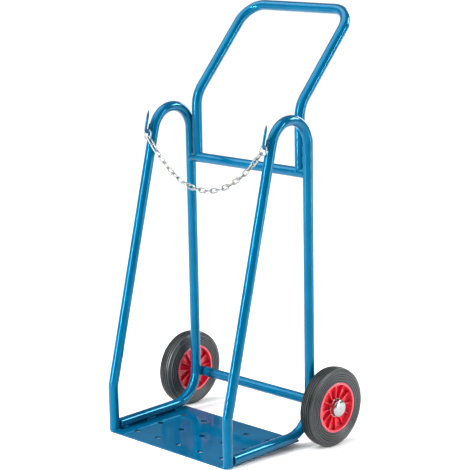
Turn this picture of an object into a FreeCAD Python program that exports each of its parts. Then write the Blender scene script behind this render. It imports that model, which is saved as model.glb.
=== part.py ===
import FreeCAD, Part
import math
import os

import Sketcher
from FreeCAD import Placement, Rotation, Vector

# Two-wheeled cart for a pair of gas cylinders. Everything is first laid out in the cart's own upright
# frame: X to the right, Y to the rear, Z up, with Y = 0 on the rear uprights' centre line and Z = 0 under
# the base plate. The finished cart then leans forward a little about its plate's front edge, because its
# wheels reach lower than the plate, and its origin moves to the middle of its footprint.

DRIVING_SIZES = [
    ("tube_diameter", 32.0, "outside diameter of every frame tube"),
    ("tube_wall", 2.0, "wall of the frame tubes"),
    ("half_track", 252.0, "middle plane to the centre line of a side frame"),
    ("leg_forward", 366.0, "upright centre line forward to the front leg"),
    ("knee_height", 149.0, "where the front leg starts to lean"),
    ("leg_lean", 14.6, "lean of the front leg in degrees"),
    ("knee_radius", 60.0, "bend at the front leg's knee"),
    ("arch_radius", 80.5, "bend over the top of a side frame"),
    ("rail_radius", 100.0, "bend from upright to side rail"),
    ("plate_thickness", 4.0, "base plate sheet"),
    ("plate_overhang", 3.0, "side frame's centre line out to the plate's side edge"),
    ("plate_lip", 1.0, "front of the front leg forward to the plate's front edge"),
    ("plate_back", 52.0, "upright centre line forward to the plate's rear edge"),
    ("plate_corner", 5.0, "rounding of the plate's corners"),
    ("plate_hole", 21.0, "diameter of the holes in the plate"),
    ("hole_pitch_across", 94.0, "spacing of the holes across the plate"),
    ("hole_pitch_along", 102.0, "spacing of the hole rows from front to rear"),
    ("hole_row_shift", 6.5, "middle row of holes ahead of the plate's middle"),
    ("crossbar_drop", 90.7, "arch's lower end down to the upper crossbar's centre line"),
    ("handle_stand", 200.0, "crossbar up to where the handle starts to lean back"),
    ("handle_rise", 271.0, "handle's knee up to its top bar"),
    ("handle_reach", 249.0, "handle's knee back to its top bar"),
    ("handle_knee_radius", 95.0, "bend at the handle's knee"),
    ("handle_corner_radius", 72.0, "bend at the ends of the handle's top bar"),
    ("axle_height", 106.0, "plate underside up to the axle's centre line"),
    ("axle_diameter", 20.0, "solid axle"),
    ("wheel_diameter", 250.0, "outside diameter of the tyre"),
    ("wheel_width", 50.0, "width of the tyre"),
    ("wheel_offset", 60.5, "side frame's centre line out to the middle of a wheel"),
    ("rim_diameter", 157.0, "where the tyre meets the rim"),
    ("hub_diameter", 52.0, "boss in the middle of the rim"),
    ("hub_length", 55.0, "length of the boss along the axle"),
    ("hub_gap", 2.0, "axle tube's end to the hub, where the inner disc sits"),
    ("axle_overhang", 10.0, "axle beyond the hub's outer face"),
    ("plug_length", 25.0, "length of the plugs in the axle tube's ends"),
    ("bush_diameter", 30.0, "outside diameter of the bearing bush"),
    ("running_gap", 0.05, "radial clearance of the bush on the axle"),
    ("rib_count", 12.0, "ribs on each side of a rim"),
    ("hook_bar", 8.0, "round bar of the chain hooks"),
    ("hook_play", 1.0, "side room of the chain's wire between the hook's legs"),
    ("hook_below", 10.0, "bend centre below the leg's upper tangent point"),
    ("hook_spike", 61.0, "bend centre up to the hook's tip"),
    ("hook_short", 20.0, "bend centre up to the end of the welded leg"),
    ("ring_inside", 24.0, "inside diameter of the chain's end rings"),
    ("chain_wire", 5.0, "wire of the rings and links"),
    ("link_pitch", 25.2, "inside length of a link"),
    ("link_inside", 8.4, "inside width of a link"),
    ("chain_slack", 1.196, "length of the row of links over the gap that it spans"),
]

doc = FreeCAD.newDocument("cylinder_cart")
sheet = doc.addObject("Spreadsheet::Sheet", "sizes")
for row, (alias, value, meaning) in enumerate(DRIVING_SIZES, start=1):
    sheet.set("A%d" % row, meaning)
    sheet.set("B%d" % row, str(value))
    sheet.setAlias("B%d" % row, alias)
doc.recompute()


def size(alias):
    """Read one driving size from the sheet."""
    return float(getattr(sheet, alias))


def bind(target, **formulas):
    """Tie properties of an object to the sheet; 's.' stands for the sheet in a formula."""
    for prop, formula in formulas.items():
        target.setExpression(prop, formula.replace("s.", "sizes."))


X_AXIS = Vector(1, 0, 0)
Y_AXIS = Vector(0, 1, 0)
Z_AXIS = Vector(0, 0, 1)
NO_TURN = Rotation()
TURN_Z_TO_X = Rotation(Y_AXIS, 90)
TURN_Z_TO_Y = Rotation(X_AXIS, -90)
SIDES = (("left", -1), ("right", 1))

tube_r = size("tube_diameter") / 2
tube_bore_r = tube_r - size("tube_wall")
track = size("half_track")
leg_y = -size("leg_forward")
lean = math.radians(size("leg_lean"))
plate_top = size("plate_thickness")
rail_z = plate_top + tube_r
rail_bend_z = rail_z + size("rail_radius")
plate_half = track + size("plate_overhang")
front = leg_y - tube_r - size("plate_lip")
back = -size("plate_back")
handle_x = track - size("tube_diameter")
axle_z = size("axle_height")
axle_y = math.sqrt((size("rail_radius") + size("tube_diameter")) ** 2 - (rail_bend_z - axle_z) ** 2)
axle_y -= size("rail_radius")
wheel_x = track + size("wheel_offset")
wheel_r = size("wheel_diameter") / 2
hub_half = size("hub_length") / 2
axle_r = size("axle_diameter") / 2
wire_r = size("chain_wire") / 2
bar_r = size("hook_bar") / 2

# The front leg's straight part runs up to a tangent point on the arch. Along the leg and straight out
# from its front are the two directions in which the chain hooks are drawn.
along_leg = Vector(0, math.sin(lean), math.cos(lean))
out_of_leg = Vector(0, -math.cos(lean), math.sin(lean))
apex_z = size("knee_height") + size("leg_forward") / math.tan(lean)
arch_z = apex_z - size("arch_radius") / math.tan(lean / 2)
leg_top = Vector(0, -size("arch_radius"), arch_z) + out_of_leg * size("arch_radius")
crossbar_z = arch_z - size("crossbar_drop")

nodes = []


def node(target, label, at=None, turn=None):
    """Name an object as a finished sub-part and stand it in the cart's upright frame."""
    target.Label = label
    target.Placement = Placement(at or Vector(), turn or NO_TURN)
    nodes.append(target)
    return target


def attach(body, name, role, lift=0.0):
    """Start a sketch on one of a body's own origin planes."""
    sketch = body.newObject("Sketcher::SketchObject", name)
    plane = [part for part in body.Origin.OriginFeatures if part.Role == role][0]
    sketch.AttachmentSupport = [(plane, "")]
    sketch.MapMode = "FlatFace"
    sketch.AttachmentOffset = Placement(Vector(0, 0, lift), NO_TURN)
    return sketch


def sketch_circle(sketch, across, up, radius, formula):
    """Draw a circle whose radius is tied to the sheet."""
    index = sketch.addGeometry(Part.Circle(Vector(across, up, 0), Z_AXIS, radius))
    rule = sketch.addConstraint(Sketcher.Constraint("Radius", index, radius))
    sketch.setExpression("Constraints[%d]" % rule, formula.replace("s.", "sizes."))
    return index


def sketch_outline(sketch, corners):
    """Draw a closed outline of straight sides."""
    lines = []
    for start, end in zip(corners, corners[1:] + corners[:1]):
        lines.append(sketch.addGeometry(Part.LineSegment(Vector(*start, 0), Vector(*end, 0))))
    for line, following in zip(lines, lines[1:] + lines[:1]):
        sketch.addConstraint(Sketcher.Constraint("Coincident", line, 2, following, 1))


def bend_points(corners, radii):
    """Give the start, middle and end of the arc that rounds each inner corner of a run of straights."""
    bends = []
    for before, corner, after, radius in zip(corners, corners[1:], corners[2:], radii):
        back = (before - corner).normalize()
        ahead = (after - corner).normalize()
        half = back.getAngle(ahead) / 2
        inward = (back + ahead).normalize()
        centre = corner + inward * (radius / math.sin(half))
        reach = radius / math.tan(half)
        bends.append((corner + back * reach, centre - inward * radius, corner + ahead * reach))
    return bends


def rounded_edges(corners, radii):
    """Turn a run of straights with rounded corners into lines and arcs, end to end."""
    shapes = []
    here = corners[0]
    for start, middle, end in bend_points(corners, radii):
        shapes.append(Part.LineSegment(here, start))
        shapes.append(Part.Arc(start, middle, end))
        here = end
    shapes.append(Part.LineSegment(here, corners[-1]))
    return shapes


def sketch_path(sketch, corners, radii):
    """Draw a rounded run of straights, worked out from the sheet, and lock it."""
    flat = [Vector(across, up, 0) for across, up in corners]
    indices = sketch.addGeometry(rounded_edges(flat, radii))
    for index in indices:
        sketch.addConstraint(Sketcher.Constraint("Block", index))
    return ["Edge%d" % (index + 1) for index in indices]


def pipe(body, name, profile, path, edges):
    """Sweep a profile sketch along a path sketch."""
    sweep = body.newObject("PartDesign::AdditivePipe", name)
    sweep.Profile = profile
    sweep.Spine = (path, edges)
    return sweep


def ring_cylinder(name, outer, inner, length, centred=True):
    """Make a hollow cylinder along Z from two bound cylinders; sizes are sheet formulas."""
    solid = doc.addObject("Part::Cylinder", name + "_outside")
    hollow = doc.addObject("Part::Cylinder", name + "_inside")
    bind(solid, Radius=outer, Height=length)
    bind(hollow, Radius=inner, Height=length)
    if centred:
        for part in (solid, hollow):
            part.setExpression("Placement.Base.z", "-(" + length.replace("s.", "sizes.") + ") / 2")
    cut = doc.addObject("Part::Cut", name)
    cut.Base = solid
    cut.Tool = hollow
    return cut


def code_shape(name, shape):
    """Hold a shape that is worked out from the sheet in code."""
    feature = doc.addObject("Part::Feature", name)
    feature.Shape = shape
    return feature


def capsule(start, end, radius):
    """Make a round-ended bead between two points."""
    run = end - start
    bead = Part.makeCylinder(radius, run.Length, start, run)
    bead = bead.fuse([Part.makeSphere(radius, start), Part.makeSphere(radius, end)])
    return bead.removeSplitter()


def swept_bead(edges, radius):
    """Make a round weld bead along a curve."""
    wire = Part.Wire(edges)
    first = wire.Edges[0]
    start = first.valueAt(first.FirstParameter)
    section = Part.Wire(Part.makeCircle(radius, start, first.tangentAt(first.FirstParameter)))
    return wire.makePipeShell([section], True, True)


# Side frames. One bent tube each: front leg, arch, upright and side rail. The rail stops just short of
# the leg's back, where a weld bead closes the joint.
RAIL_END_GAP = 0.6
frame_corners = [
    (leg_y, plate_top),
    (leg_y, size("knee_height")),
    (0.0, apex_z),
    (0.0, rail_z),
    (leg_y + tube_r + RAIL_END_GAP, rail_z),
]
frame_radii = [size("knee_radius"), size("arch_radius"), size("rail_radius")]
for side, sign in SIDES:
    body = doc.addObject("PartDesign::Body", "side_frame_" + side)
    path = attach(body, "frame_line_" + side, "YZ_Plane")
    edges = sketch_path(path, frame_corners, frame_radii)
    doc.recompute()
    section = attach(body, "frame_section_" + side, "XY_Plane", plate_top)
    sketch_circle(section, 0.0, leg_y, tube_r, "s.tube_diameter / 2")
    sketch_circle(section, 0.0, leg_y, tube_bore_r, "s.tube_diameter / 2 - s.tube_wall")
    pipe(body, "frame_tube_" + side, section, path, edges)
    node(body, "side_frame_" + side, Vector(sign * track, 0, 0))

# Upper crossbar, with a saddle cut at each end so that it fits round the uprights.
bar_tube = ring_cylinder("crossbar_tube", "s.tube_diameter / 2", "s.tube_diameter / 2 - s.tube_wall",
                         "2 * s.half_track")
uprights = []
for side, sign in SIDES:
    upright = doc.addObject("Part::Cylinder", "crossbar_saddle_" + side)
    bind(upright, Radius="s.tube_diameter / 2", Height="4 * s.tube_diameter")
    upright.Placement = Placement(Vector(2 * size("tube_diameter"), 0, sign * track), Rotation(Y_AXIS, -90))
    upright.setExpression("Placement.Base.x", "2 * sizes.tube_diameter")
    uprights.append(upright)
saddles = doc.addObject("Part::MultiFuse", "crossbar_saddles")
saddles.Shapes = uprights
crossbar = doc.addObject("Part::Cut", "upper_crossbar")
crossbar.Base = bar_tube
crossbar.Tool = saddles
node(crossbar, "upper_crossbar", Vector(0, 0, crossbar_z), TURN_Z_TO_X)

# Handle. One bent tube that stands on the crossbar just inside the uprights and leans back at its knee.
# It bends out of one plane, so it is swept in code along its own line.
handle_knee_z = crossbar_z + size("handle_stand")
handle_top_z = handle_knee_z + size("handle_rise")
handle_corners = [
    Vector(-handle_x, 0, crossbar_z),
    Vector(-handle_x, 0, handle_knee_z),
    Vector(-handle_x, size("handle_reach"), handle_top_z),
    Vector(handle_x, size("handle_reach"), handle_top_z),
    Vector(handle_x, 0, handle_knee_z),
    Vector(handle_x, 0, crossbar_z),
]
knee_bend = size("handle_knee_radius")
corner_bend = size("handle_corner_radius")
handle_curve = rounded_edges(handle_corners, [knee_bend, corner_bend, corner_bend, knee_bend])
handle_wire = Part.Wire([curve.toShape() for curve in handle_curve])


def swept_along_handle(radius):
    section = Part.Wire(Part.makeCircle(radius, handle_corners[0], Z_AXIS))
    return handle_wire.makePipeShell([section], True, False)


crossbar_room = Part.makeCylinder(tube_r, 2 * track, Vector(-track, 0, crossbar_z), X_AXIS)
handle_shape = swept_along_handle(tube_r).cut(swept_along_handle(tube_bore_r)).cut(crossbar_room)
node(code_shape("handle_tube", handle_shape.Solids[0]), "handle_tube")

# Axle tube across the back of the uprights. The plugs in its ends carry the solid axle.
axle_tube_half = wheel_x - hub_half - size("hub_gap")
plug_middle = axle_tube_half - size("plug_length") / 2
WASHER_GAP = 0.4
DISC_THICK = 1.6
HUB_INNER = "(s.half_track + s.wheel_offset - s.hub_length / 2)"
axle_tube = ring_cylinder("axle_tube", "s.tube_diameter / 2", "s.tube_diameter / 2 - s.tube_wall",
                          "2 * (%s - s.hub_gap)" % HUB_INNER)
node(axle_tube, "axle_tube", Vector(0, axle_y, axle_z), TURN_Z_TO_X)
for side, sign in SIDES:
    plug = ring_cylinder("axle_plug_" + side, "s.tube_diameter / 2 - s.tube_wall", "s.axle_diameter / 2",
                         "s.plug_length")
    node(plug, "axle_plug_" + side, Vector(sign * plug_middle, axle_y, axle_z), TURN_Z_TO_X)

# Solid axle, chamfered at both ends and cross-drilled for the split pins.
WASHER_THICK = 2.0
PIN_RADIUS = 1.6
PIN_ROOM = 0.15
PIN_AFTER_WASHER = 1.0
axle_end = wheel_x + hub_half + size("axle_overhang")
pin_x = wheel_x + hub_half + WASHER_GAP + WASHER_THICK + PIN_AFTER_WASHER + PIN_RADIUS
axle_body = doc.addObject("PartDesign::Body", "axle_rod")
axle_section = attach(axle_body, "axle_section", "XY_Plane")
sketch_circle(axle_section, 0.0, 0.0, axle_r, "s.axle_diameter / 2")
axle_pad = axle_body.newObject("PartDesign::Pad", "axle_bar")
axle_pad.Profile = axle_section
axle_pad.Midplane = True
bind(axle_pad, Length="2 * (%s + s.hub_length + s.axle_overhang)" % HUB_INNER)
pin_holes = attach(axle_body, "pin_holes", "YZ_Plane")
for side, sign in SIDES:
    sketch_circle(pin_holes, 0.0, sign * pin_x, PIN_RADIUS + PIN_ROOM, "%g" % (PIN_RADIUS + PIN_ROOM))
pin_pocket = axle_body.newObject("PartDesign::Pocket", "pin_bores")
pin_pocket.Profile = pin_holes
pin_pocket.Midplane = True
bind(pin_pocket, Length="2 * s.axle_diameter")
doc.recompute()
END_CHAMFER = 1.5
rims = [
    "Edge%d" % (index + 1)
    for index, edge in enumerate(pin_pocket.Shape.Edges)
    if abs(abs(edge.CenterOfMass.z) - axle_end) < PIN_RADIUS and edge.Closed
]
axle_chamfer = axle_body.newObject("PartDesign::Chamfer", "axle_ends")
axle_chamfer.Base = (pin_pocket, rims)
axle_chamfer.Size = END_CHAMFER
node(axle_body, "axle_rod", Vector(0, axle_y, axle_z), TURN_Z_TO_X)

# Base plate, with its grid of holes and rounded corners.
HOLES_ACROSS = 5
HOLE_ROWS = 3
plate = doc.addObject("PartDesign::Body", "base_plate")
plate_outline = attach(plate, "plate_outline", "XY_Plane")
plate_box = [(-plate_half, front), (plate_half, front), (plate_half, back), (-plate_half, back)]
sketch_outline(plate_outline, plate_box)
plate_rules = (
    ("DistanceX", 0, 2, plate_half, "s.half_track + s.plate_overhang"),
    ("DistanceX", 0, 1, -plate_half, "-s.half_track - s.plate_overhang"),
    ("DistanceY", 0, 1, front, "-s.leg_forward - s.tube_diameter / 2 - s.plate_lip"),
    ("DistanceY", 2, 1, back, "-s.plate_back"),
)
for kind, line, end, value, formula in plate_rules:
    rule = plate_outline.addConstraint(Sketcher.Constraint(kind, -1, 1, line, end, value))
    plate_outline.setExpression("Constraints[%d]" % rule, formula.replace("s.", "sizes."))
for line, kind in enumerate(("Horizontal", "Vertical", "Horizontal", "Vertical")):
    plate_outline.addConstraint(Sketcher.Constraint(kind, line))
plate_pad = plate.newObject("PartDesign::Pad", "plate_sheet")
plate_pad.Profile = plate_outline
bind(plate_pad, Length="s.plate_thickness")
hole_sketch = attach(plate, "plate_holes", "XY_Plane")
hole_middle_y = (front + back) / 2 - size("hole_row_shift")
for column in range(HOLES_ACROSS):
    for line in range(HOLE_ROWS):
        hole_x = (column - (HOLES_ACROSS - 1) / 2) * size("hole_pitch_across")
        hole_y = (line - (HOLE_ROWS - 1) / 2) * size("hole_pitch_along") + hole_middle_y
        sketch_circle(hole_sketch, hole_x, hole_y, size("plate_hole") / 2, "s.plate_hole / 2")
hole_pocket = plate.newObject("PartDesign::Pocket", "plate_bores")
hole_pocket.Profile = hole_sketch
hole_pocket.Midplane = True
bind(hole_pocket, Length="3 * s.plate_thickness")
doc.recompute()
corner_edges = [
    "Edge%d" % (index + 1)
    for index, edge in enumerate(hole_pocket.Shape.Edges)
    if len(edge.Vertexes) == 2
    and abs(edge.Vertexes[0].Z - edge.Vertexes[1].Z) > plate_top / 2
    and abs(abs(edge.CenterOfMass.x) - plate_half) < plate_top
]
plate_round = plate.newObject("PartDesign::Fillet", "plate_corners")
plate_round.Base = (hole_pocket, corner_edges)
bind(plate_round, Radius="s.plate_corner")
node(plate, "base_plate")

# Wheels. Tyre, ribbed rim and bearing bush are turned about their own X axis.
TREAD_GROOVES = 5
TREAD_DEPTH = 3.0
TREAD_SHARE = 0.8
CROWN_DROP = 4.0
SHOULDER_DROP = 11.0
SIDE_STEPS = 5
SIDE_STEP_DEPTH = 2.2
STEP_RAMP = 0.2
STEP_FLAT = 0.8
half_tyre = size("wheel_width") / 2
rim_r = size("rim_diameter") / 2
hub_r = size("hub_diameter") / 2
bush_r = size("bush_diameter") / 2


def tyre_outline():
    """Give the tyre's half section: grooved tread, rounded shoulders and stepped side walls."""
    tread_half = half_tyre * TREAD_SHARE
    strip = 2 * tread_half / (2 * TREAD_GROOVES + 1)
    right_side = [(tread_half, wheel_r - CROWN_DROP)]
    right_side.append((half_tyre - SIDE_STEP_DEPTH, wheel_r - SHOULDER_DROP))
    step = (wheel_r - SHOULDER_DROP - rim_r) / (2 * SIDE_STEPS)
    for ridge in range(SIDE_STEPS):
        top = wheel_r - SHOULDER_DROP - (2 * ridge + 1) * step
        right_side.append((half_tyre - SIDE_STEP_DEPTH, top + STEP_RAMP * step))
        right_side.append((half_tyre, top))
        right_side.append((half_tyre, top - STEP_FLAT * step))
    right_side[-1] = (half_tyre, rim_r)
    tread = []
    for groove in range(TREAD_GROOVES):
        left = -tread_half + (2 * groove + 1) * strip
        for across, depth in ((left, 0), (left, 1), (left + strip, 1), (left + strip, 0)):
            surface = wheel_r - CROWN_DROP * (across / tread_half) ** 2
            tread.append((across, surface - depth * TREAD_DEPTH))
    left_side = [(-across, up) for across, up in reversed(right_side)]
    return left_side + tread + right_side


def turned(body, name, outline):
    """Turn a half section about the body's own X axis."""
    sketch = attach(body, name + "_section", "XZ_Plane")
    sketch_outline(sketch, outline)
    turn = body.newObject("PartDesign::Revolution", name + "_turned")
    turn.Profile = sketch
    turn.ReferenceAxis = (sketch, ["H_Axis"])
    turn.Angle = 360
    return turn


RIM_WALL = 5.0
LIP_INSET = 2.0
LIP_STAND = 1.5
WEB_HALF = 9.0
RIB_THICK = 2.2
RIB_BELOW_LIP = 5.0
RIB_BELOW_HUB = 7.0
RIB_ROOT = 1.0
CAP_SKIRT = 6.0
CAP_ROOM = 1.0
DISH_DRAFT = 2.0
SEAT_DRAFT = 3.0
LIP_EDGE = 1.5
boss_end = hub_half - CAP_SKIRT - CAP_ROOM
barrel_r = rim_r - RIM_WALL
lip_x = half_tyre + LIP_STAND
lip_low = barrel_r - LIP_INSET
half_rim_section = [
    (hub_half, bush_r), (hub_half, hub_r), (boss_end, hub_r), (WEB_HALF, hub_r + DISH_DRAFT),
    (WEB_HALF, barrel_r - DISH_DRAFT), (half_tyre - SEAT_DRAFT, barrel_r), (lip_x, lip_low),
    (lip_x, rim_r - LIP_EDGE), (half_tyre, rim_r),
]
rim_section = half_rim_section + [(-across, up) for across, up in reversed(half_rim_section)]
for side, sign in SIDES:
    wheel_at = Vector(sign * wheel_x, axle_y, axle_z)
    facing = Rotation() if sign > 0 else Rotation(Z_AXIS, 180)
    tyre = doc.addObject("PartDesign::Body", "tyre_" + side)
    turned(tyre, "tyre_" + side, tyre_outline())
    node(tyre, "tyre_" + side, wheel_at, facing)
    rim = doc.addObject("PartDesign::Body", "wheel_rim_" + side)
    turned(rim, "rim_" + side, rim_section)
    rib_sketch = attach(rim, "rib_section_" + side, "XZ_Plane")
    for face in (-1, 1):
        rib_outline = [
            (face * (WEB_HALF - RIB_ROOT), hub_r - RIB_ROOT),
            (face * (hub_half - RIB_BELOW_HUB), hub_r - RIB_ROOT),
            (face * (half_tyre - RIB_BELOW_LIP), barrel_r + RIB_ROOT),
            (face * (WEB_HALF - RIB_ROOT), barrel_r + RIB_ROOT),
        ]
        sketch_outline(rib_sketch, rib_outline)
    rib = rim.newObject("PartDesign::Pad", "rib_" + side)
    rib.Profile = rib_sketch
    rib.Midplane = True
    rib.Length = RIB_THICK
    ribs = rim.newObject("PartDesign::PolarPattern", "ribs_" + side)
    ribs.Originals = [rib]
    ribs.Axis = (rib_sketch, ["H_Axis"])
    ribs.Angle = 360
    bind(ribs, Occurrences="s.rib_count")
    rim.Tip = ribs
    node(rim, "wheel_rim_" + side, wheel_at, facing)
    bush = ring_cylinder("wheel_bush_" + side, "s.bush_diameter / 2", "s.axle_diameter / 2 + s.running_gap",
                         "s.hub_length")
    node(bush, "wheel_bush_" + side, wheel_at, TURN_Z_TO_X)

# Domed hub caps, pressed over the outer end of the hubs, with a flange round the foot.
CAP_SKIN = 1.2
CAP_DEPTH = 12.5
CAP_FLANGE = 1.8
CAP_EASE = 0.02
CAP_WALL_SHARE = 0.35
CAP_TURN_SHARE = 0.8
CAP_TURN_REACH = 0.76
CAP_FLAT_REACH = 0.3
cap_in = hub_r + CAP_EASE
cap_out = cap_in + CAP_SKIN
cap_foot = hub_half - CAP_SKIRT
cap_wall_end = hub_half + CAP_DEPTH * CAP_WALL_SHARE
cap_turn = hub_half + CAP_DEPTH * CAP_TURN_SHARE
cap_crown = hub_half + CAP_DEPTH
cap_section = [
    (cap_foot, cap_in), (cap_wall_end, cap_in), (cap_turn, cap_in * CAP_TURN_REACH),
    (cap_crown, cap_in * CAP_FLAT_REACH), (cap_crown, 0.0),
    (cap_crown + CAP_SKIN, 0.0), (cap_crown + CAP_SKIN, cap_out * CAP_FLAT_REACH),
    (cap_turn + CAP_SKIN, cap_out * CAP_TURN_REACH), (cap_wall_end + CAP_SKIN, cap_out),
    (cap_foot + CAP_SKIN, cap_out), (cap_foot + CAP_SKIN, cap_out + CAP_FLANGE),
    (cap_foot, cap_out + CAP_FLANGE),
]
DISC_RADIUS = 25.0
WASHER_RADIUS = 18.5
HOLE_ROOM = 0.3
PIN_PAST_AXLE = 5.0
PIN_TAIL = 5.0
PIN_TAIL_ROOT = 1.0
EYE_SHARE = 1.6
THIN_SHARE = 0.8
pin_half = axle_r + PIN_PAST_AXLE
for side, sign in SIDES:
    wheel_at = Vector(sign * wheel_x, axle_y, axle_z)
    facing = Rotation() if sign > 0 else Rotation(Z_AXIS, 180)
    cap = doc.addObject("PartDesign::Body", "hub_cap_" + side)
    turned(cap, "cap_" + side, cap_section)
    node(cap, "hub_cap_" + side, wheel_at, facing)
    axle_hole = "s.axle_diameter / 2 + %g" % HOLE_ROOM
    disc = ring_cylinder("inner_disc_" + side, "%g" % DISC_RADIUS, axle_hole, "%g" % DISC_THICK)
    disc_x = axle_tube_half + DISC_THICK / 2
    node(disc, "inner_disc_" + side, Vector(sign * disc_x, axle_y, axle_z), TURN_Z_TO_X)
    washer = ring_cylinder("outer_washer_" + side, "%g" % WASHER_RADIUS, axle_hole, "%g" % WASHER_THICK)
    washer_x = wheel_x + hub_half + WASHER_GAP + WASHER_THICK / 2
    node(washer, "outer_washer_" + side, Vector(sign * washer_x, axle_y, axle_z), TURN_Z_TO_X)
    # Split pin: a doubled wire through the axle, an eye at one end and its tails spread at the other.
    stem = Part.makeCylinder(PIN_RADIUS, 2 * pin_half, Vector(0, 0, -pin_half), Z_AXIS)
    eye_at = Vector(0, 0, pin_half + PIN_RADIUS)
    eye = Part.makeTorus(PIN_RADIUS * EYE_SHARE, PIN_RADIUS * THIN_SHARE, eye_at, X_AXIS)
    tail_root = Vector(0, 0, PIN_TAIL_ROOT - pin_half)
    tails = [
        Part.makeCylinder(PIN_RADIUS * THIN_SHARE, PIN_TAIL, tail_root, Vector(0, way, -1)) for way in (-1, 1)
    ]
    pin = code_shape("split_pin_" + side, stem.fuse([eye] + tails).removeSplitter())
    node(pin, "split_pin_" + side, Vector(sign * pin_x, axle_y, axle_z))

# Chain hooks. A round bar bent like a J: the short leg is welded to the front of the front leg and the
# long leg stands up in front of it as a pointed spike. Drawn along the leg's own lean.
TIP_LENGTH = 16.0
TIP_SHARE = 0.25
WELD_EMBED = 0.3
BEND_EASE = 0.01
hook_in = tube_r + bar_r - WELD_EMBED
hook_bend = bar_r + wire_r + size("hook_play")
hook_out = hook_in + 2 * hook_bend
bend_centre = leg_top - along_leg * size("hook_below")


def on_hook(outward, upward):
    """Give a point in the hook's plane from its distance off the leg's axis and up from the bend."""
    return bend_centre + out_of_leg * outward + along_leg * upward


for side, sign in SIDES:
    hook_lines = rounded_edges(
        [
            on_hook(hook_in, size("hook_short")),
            on_hook(hook_in, -hook_bend),
            on_hook(hook_out, -hook_bend),
            on_hook(hook_out, size("hook_spike") - TIP_LENGTH),
        ],
        [hook_bend - BEND_EASE, hook_bend - BEND_EASE],
    )
    hook_wire = Part.Wire([line.toShape() for line in hook_lines])
    hook_start = Part.Wire(Part.makeCircle(bar_r, on_hook(hook_in, size("hook_short")), along_leg))
    hook_shape = hook_wire.makePipeShell([hook_start], True, False)
    tip_foot = on_hook(hook_out, size("hook_spike") - TIP_LENGTH)
    tip = Part.makeCone(bar_r, bar_r * TIP_SHARE, TIP_LENGTH, tip_foot, along_leg)
    hook = code_shape("chain_hook_" + side, hook_shape.fuse(tip).removeSplitter())
    node(hook, "chain_hook_" + side, Vector(sign * track, 0, 0))

# End rings. Each lies in the hook's bend and leans in towards the chain's pull.
PULL_ANGLE = math.radians(52.0)
SEAT_ROOM = 0.25
LINK_ROOM = 0.8
ring_r = size("ring_inside") / 2
seat = on_hook((hook_in + hook_out) / 2, -hook_bend)
ring_reach = ring_r - bar_r - SEAT_ROOM
ring_centres = {}
chain_ends = {}
for side, sign in SIDES:
    pull = Vector(-sign * math.cos(PULL_ANGLE), 0, 0) - along_leg * math.sin(PULL_ANGLE)
    ring_centres[side] = Vector(sign * track, 0, 0) + seat + pull * ring_reach
    chain_ends[side] = ring_centres[side] + pull * (ring_r - LINK_ROOM)
    ring = doc.addObject("Part::Torus", "chain_ring_" + side)
    bind(ring, Radius1="s.ring_inside / 2 + s.chain_wire / 2", Radius2="s.chain_wire / 2")
    node(ring, "chain_ring_" + side, ring_centres[side], Rotation(Z_AXIS, out_of_leg))

# Lean of the standing cart: it rests on the plate's front edge and on both tyres.
reach_back = axle_y - front
rest_tilt = math.asin(wheel_r / math.hypot(reach_back, axle_z)) - math.atan2(axle_z, reach_back)

# Chain. The links hang between the rings in a true vertical plane, on the curve that loaded links take:
# each link's slope follows from the weight of the links below it. The pull at the middle is found by
# halving until the row spans the gap exactly.
pitch = size("link_pitch")
span = chain_ends["right"].x - chain_ends["left"].x
JOINT_ROOM = 0.2
half_links = int(size("chain_slack") * span / (2 * (pitch - JOINT_ROOM)))
link_count = 2 * half_links + 1
middle_link = half_links


def link_slopes(pull):
    """Give each link's slope for a level pull measured in link weights."""
    return [math.atan2(index - middle_link, pull) for index in range(link_count)]


LEAST_PULL = 0.01
MOST_PULL = 1000.0
HALVINGS = 60
low_pull = LEAST_PULL
high_pull = MOST_PULL
for _ in range(HALVINGS):
    pull = (low_pull + high_pull) / 2
    if sum((pitch - JOINT_ROOM) * math.cos(slope) for slope in link_slopes(pull)) < span:
        low_pull = pull
    else:
        high_pull = pull

gravity = Vector(0, -math.sin(rest_tilt), -math.cos(rest_tilt))
link_r = size("link_inside") / 2 + wire_r
bend_offset = pitch / 2 - size("link_inside") / 2
link_corners = [
    Vector(0, 0, -link_r), Vector(bend_offset, 0, -link_r), Vector(bend_offset + link_r, 0, 0),
    Vector(bend_offset, 0, link_r), Vector(-bend_offset, 0, link_r), Vector(-bend_offset - link_r, 0, 0),
    Vector(-bend_offset, 0, -link_r),
]
link_path = Part.Wire([
    Part.LineSegment(link_corners[6], link_corners[1]).toShape(),
    Part.Arc(link_corners[1], link_corners[2], link_corners[3]).toShape(),
    Part.LineSegment(link_corners[3], link_corners[4]).toShape(),
    Part.Arc(link_corners[4], link_corners[5], link_corners[6]).toShape(),
])
link_section = Part.Wire(Part.makeCircle(wire_r, link_corners[6], X_AXIS))
one_link = link_path.makePipeShell([link_section], True, False)

links = []
here = chain_ends["left"]
for index, slope in enumerate(link_slopes(pull)):
    forward = X_AXIS * math.cos(slope) - gravity * math.sin(slope)
    middle = here + forward * ((pitch - JOINT_ROOM) / 2)
    # Odd links stand in the hanging plane, the others lie across it.
    across = X_AXIS.cross(gravity)
    flat_normal = forward.cross(across)
    normal = across if index % 2 else flat_normal
    side_axis = normal.cross(forward)
    turn = Rotation(forward, normal, side_axis, "XYZ")
    placed = one_link.copy()
    placed.Placement = Placement(middle, turn)
    links.append(placed)
    here = here + forward * (pitch - JOINT_ROOM)
node(code_shape("chain_links", Part.makeCompound(links)), "chain_links")

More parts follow.
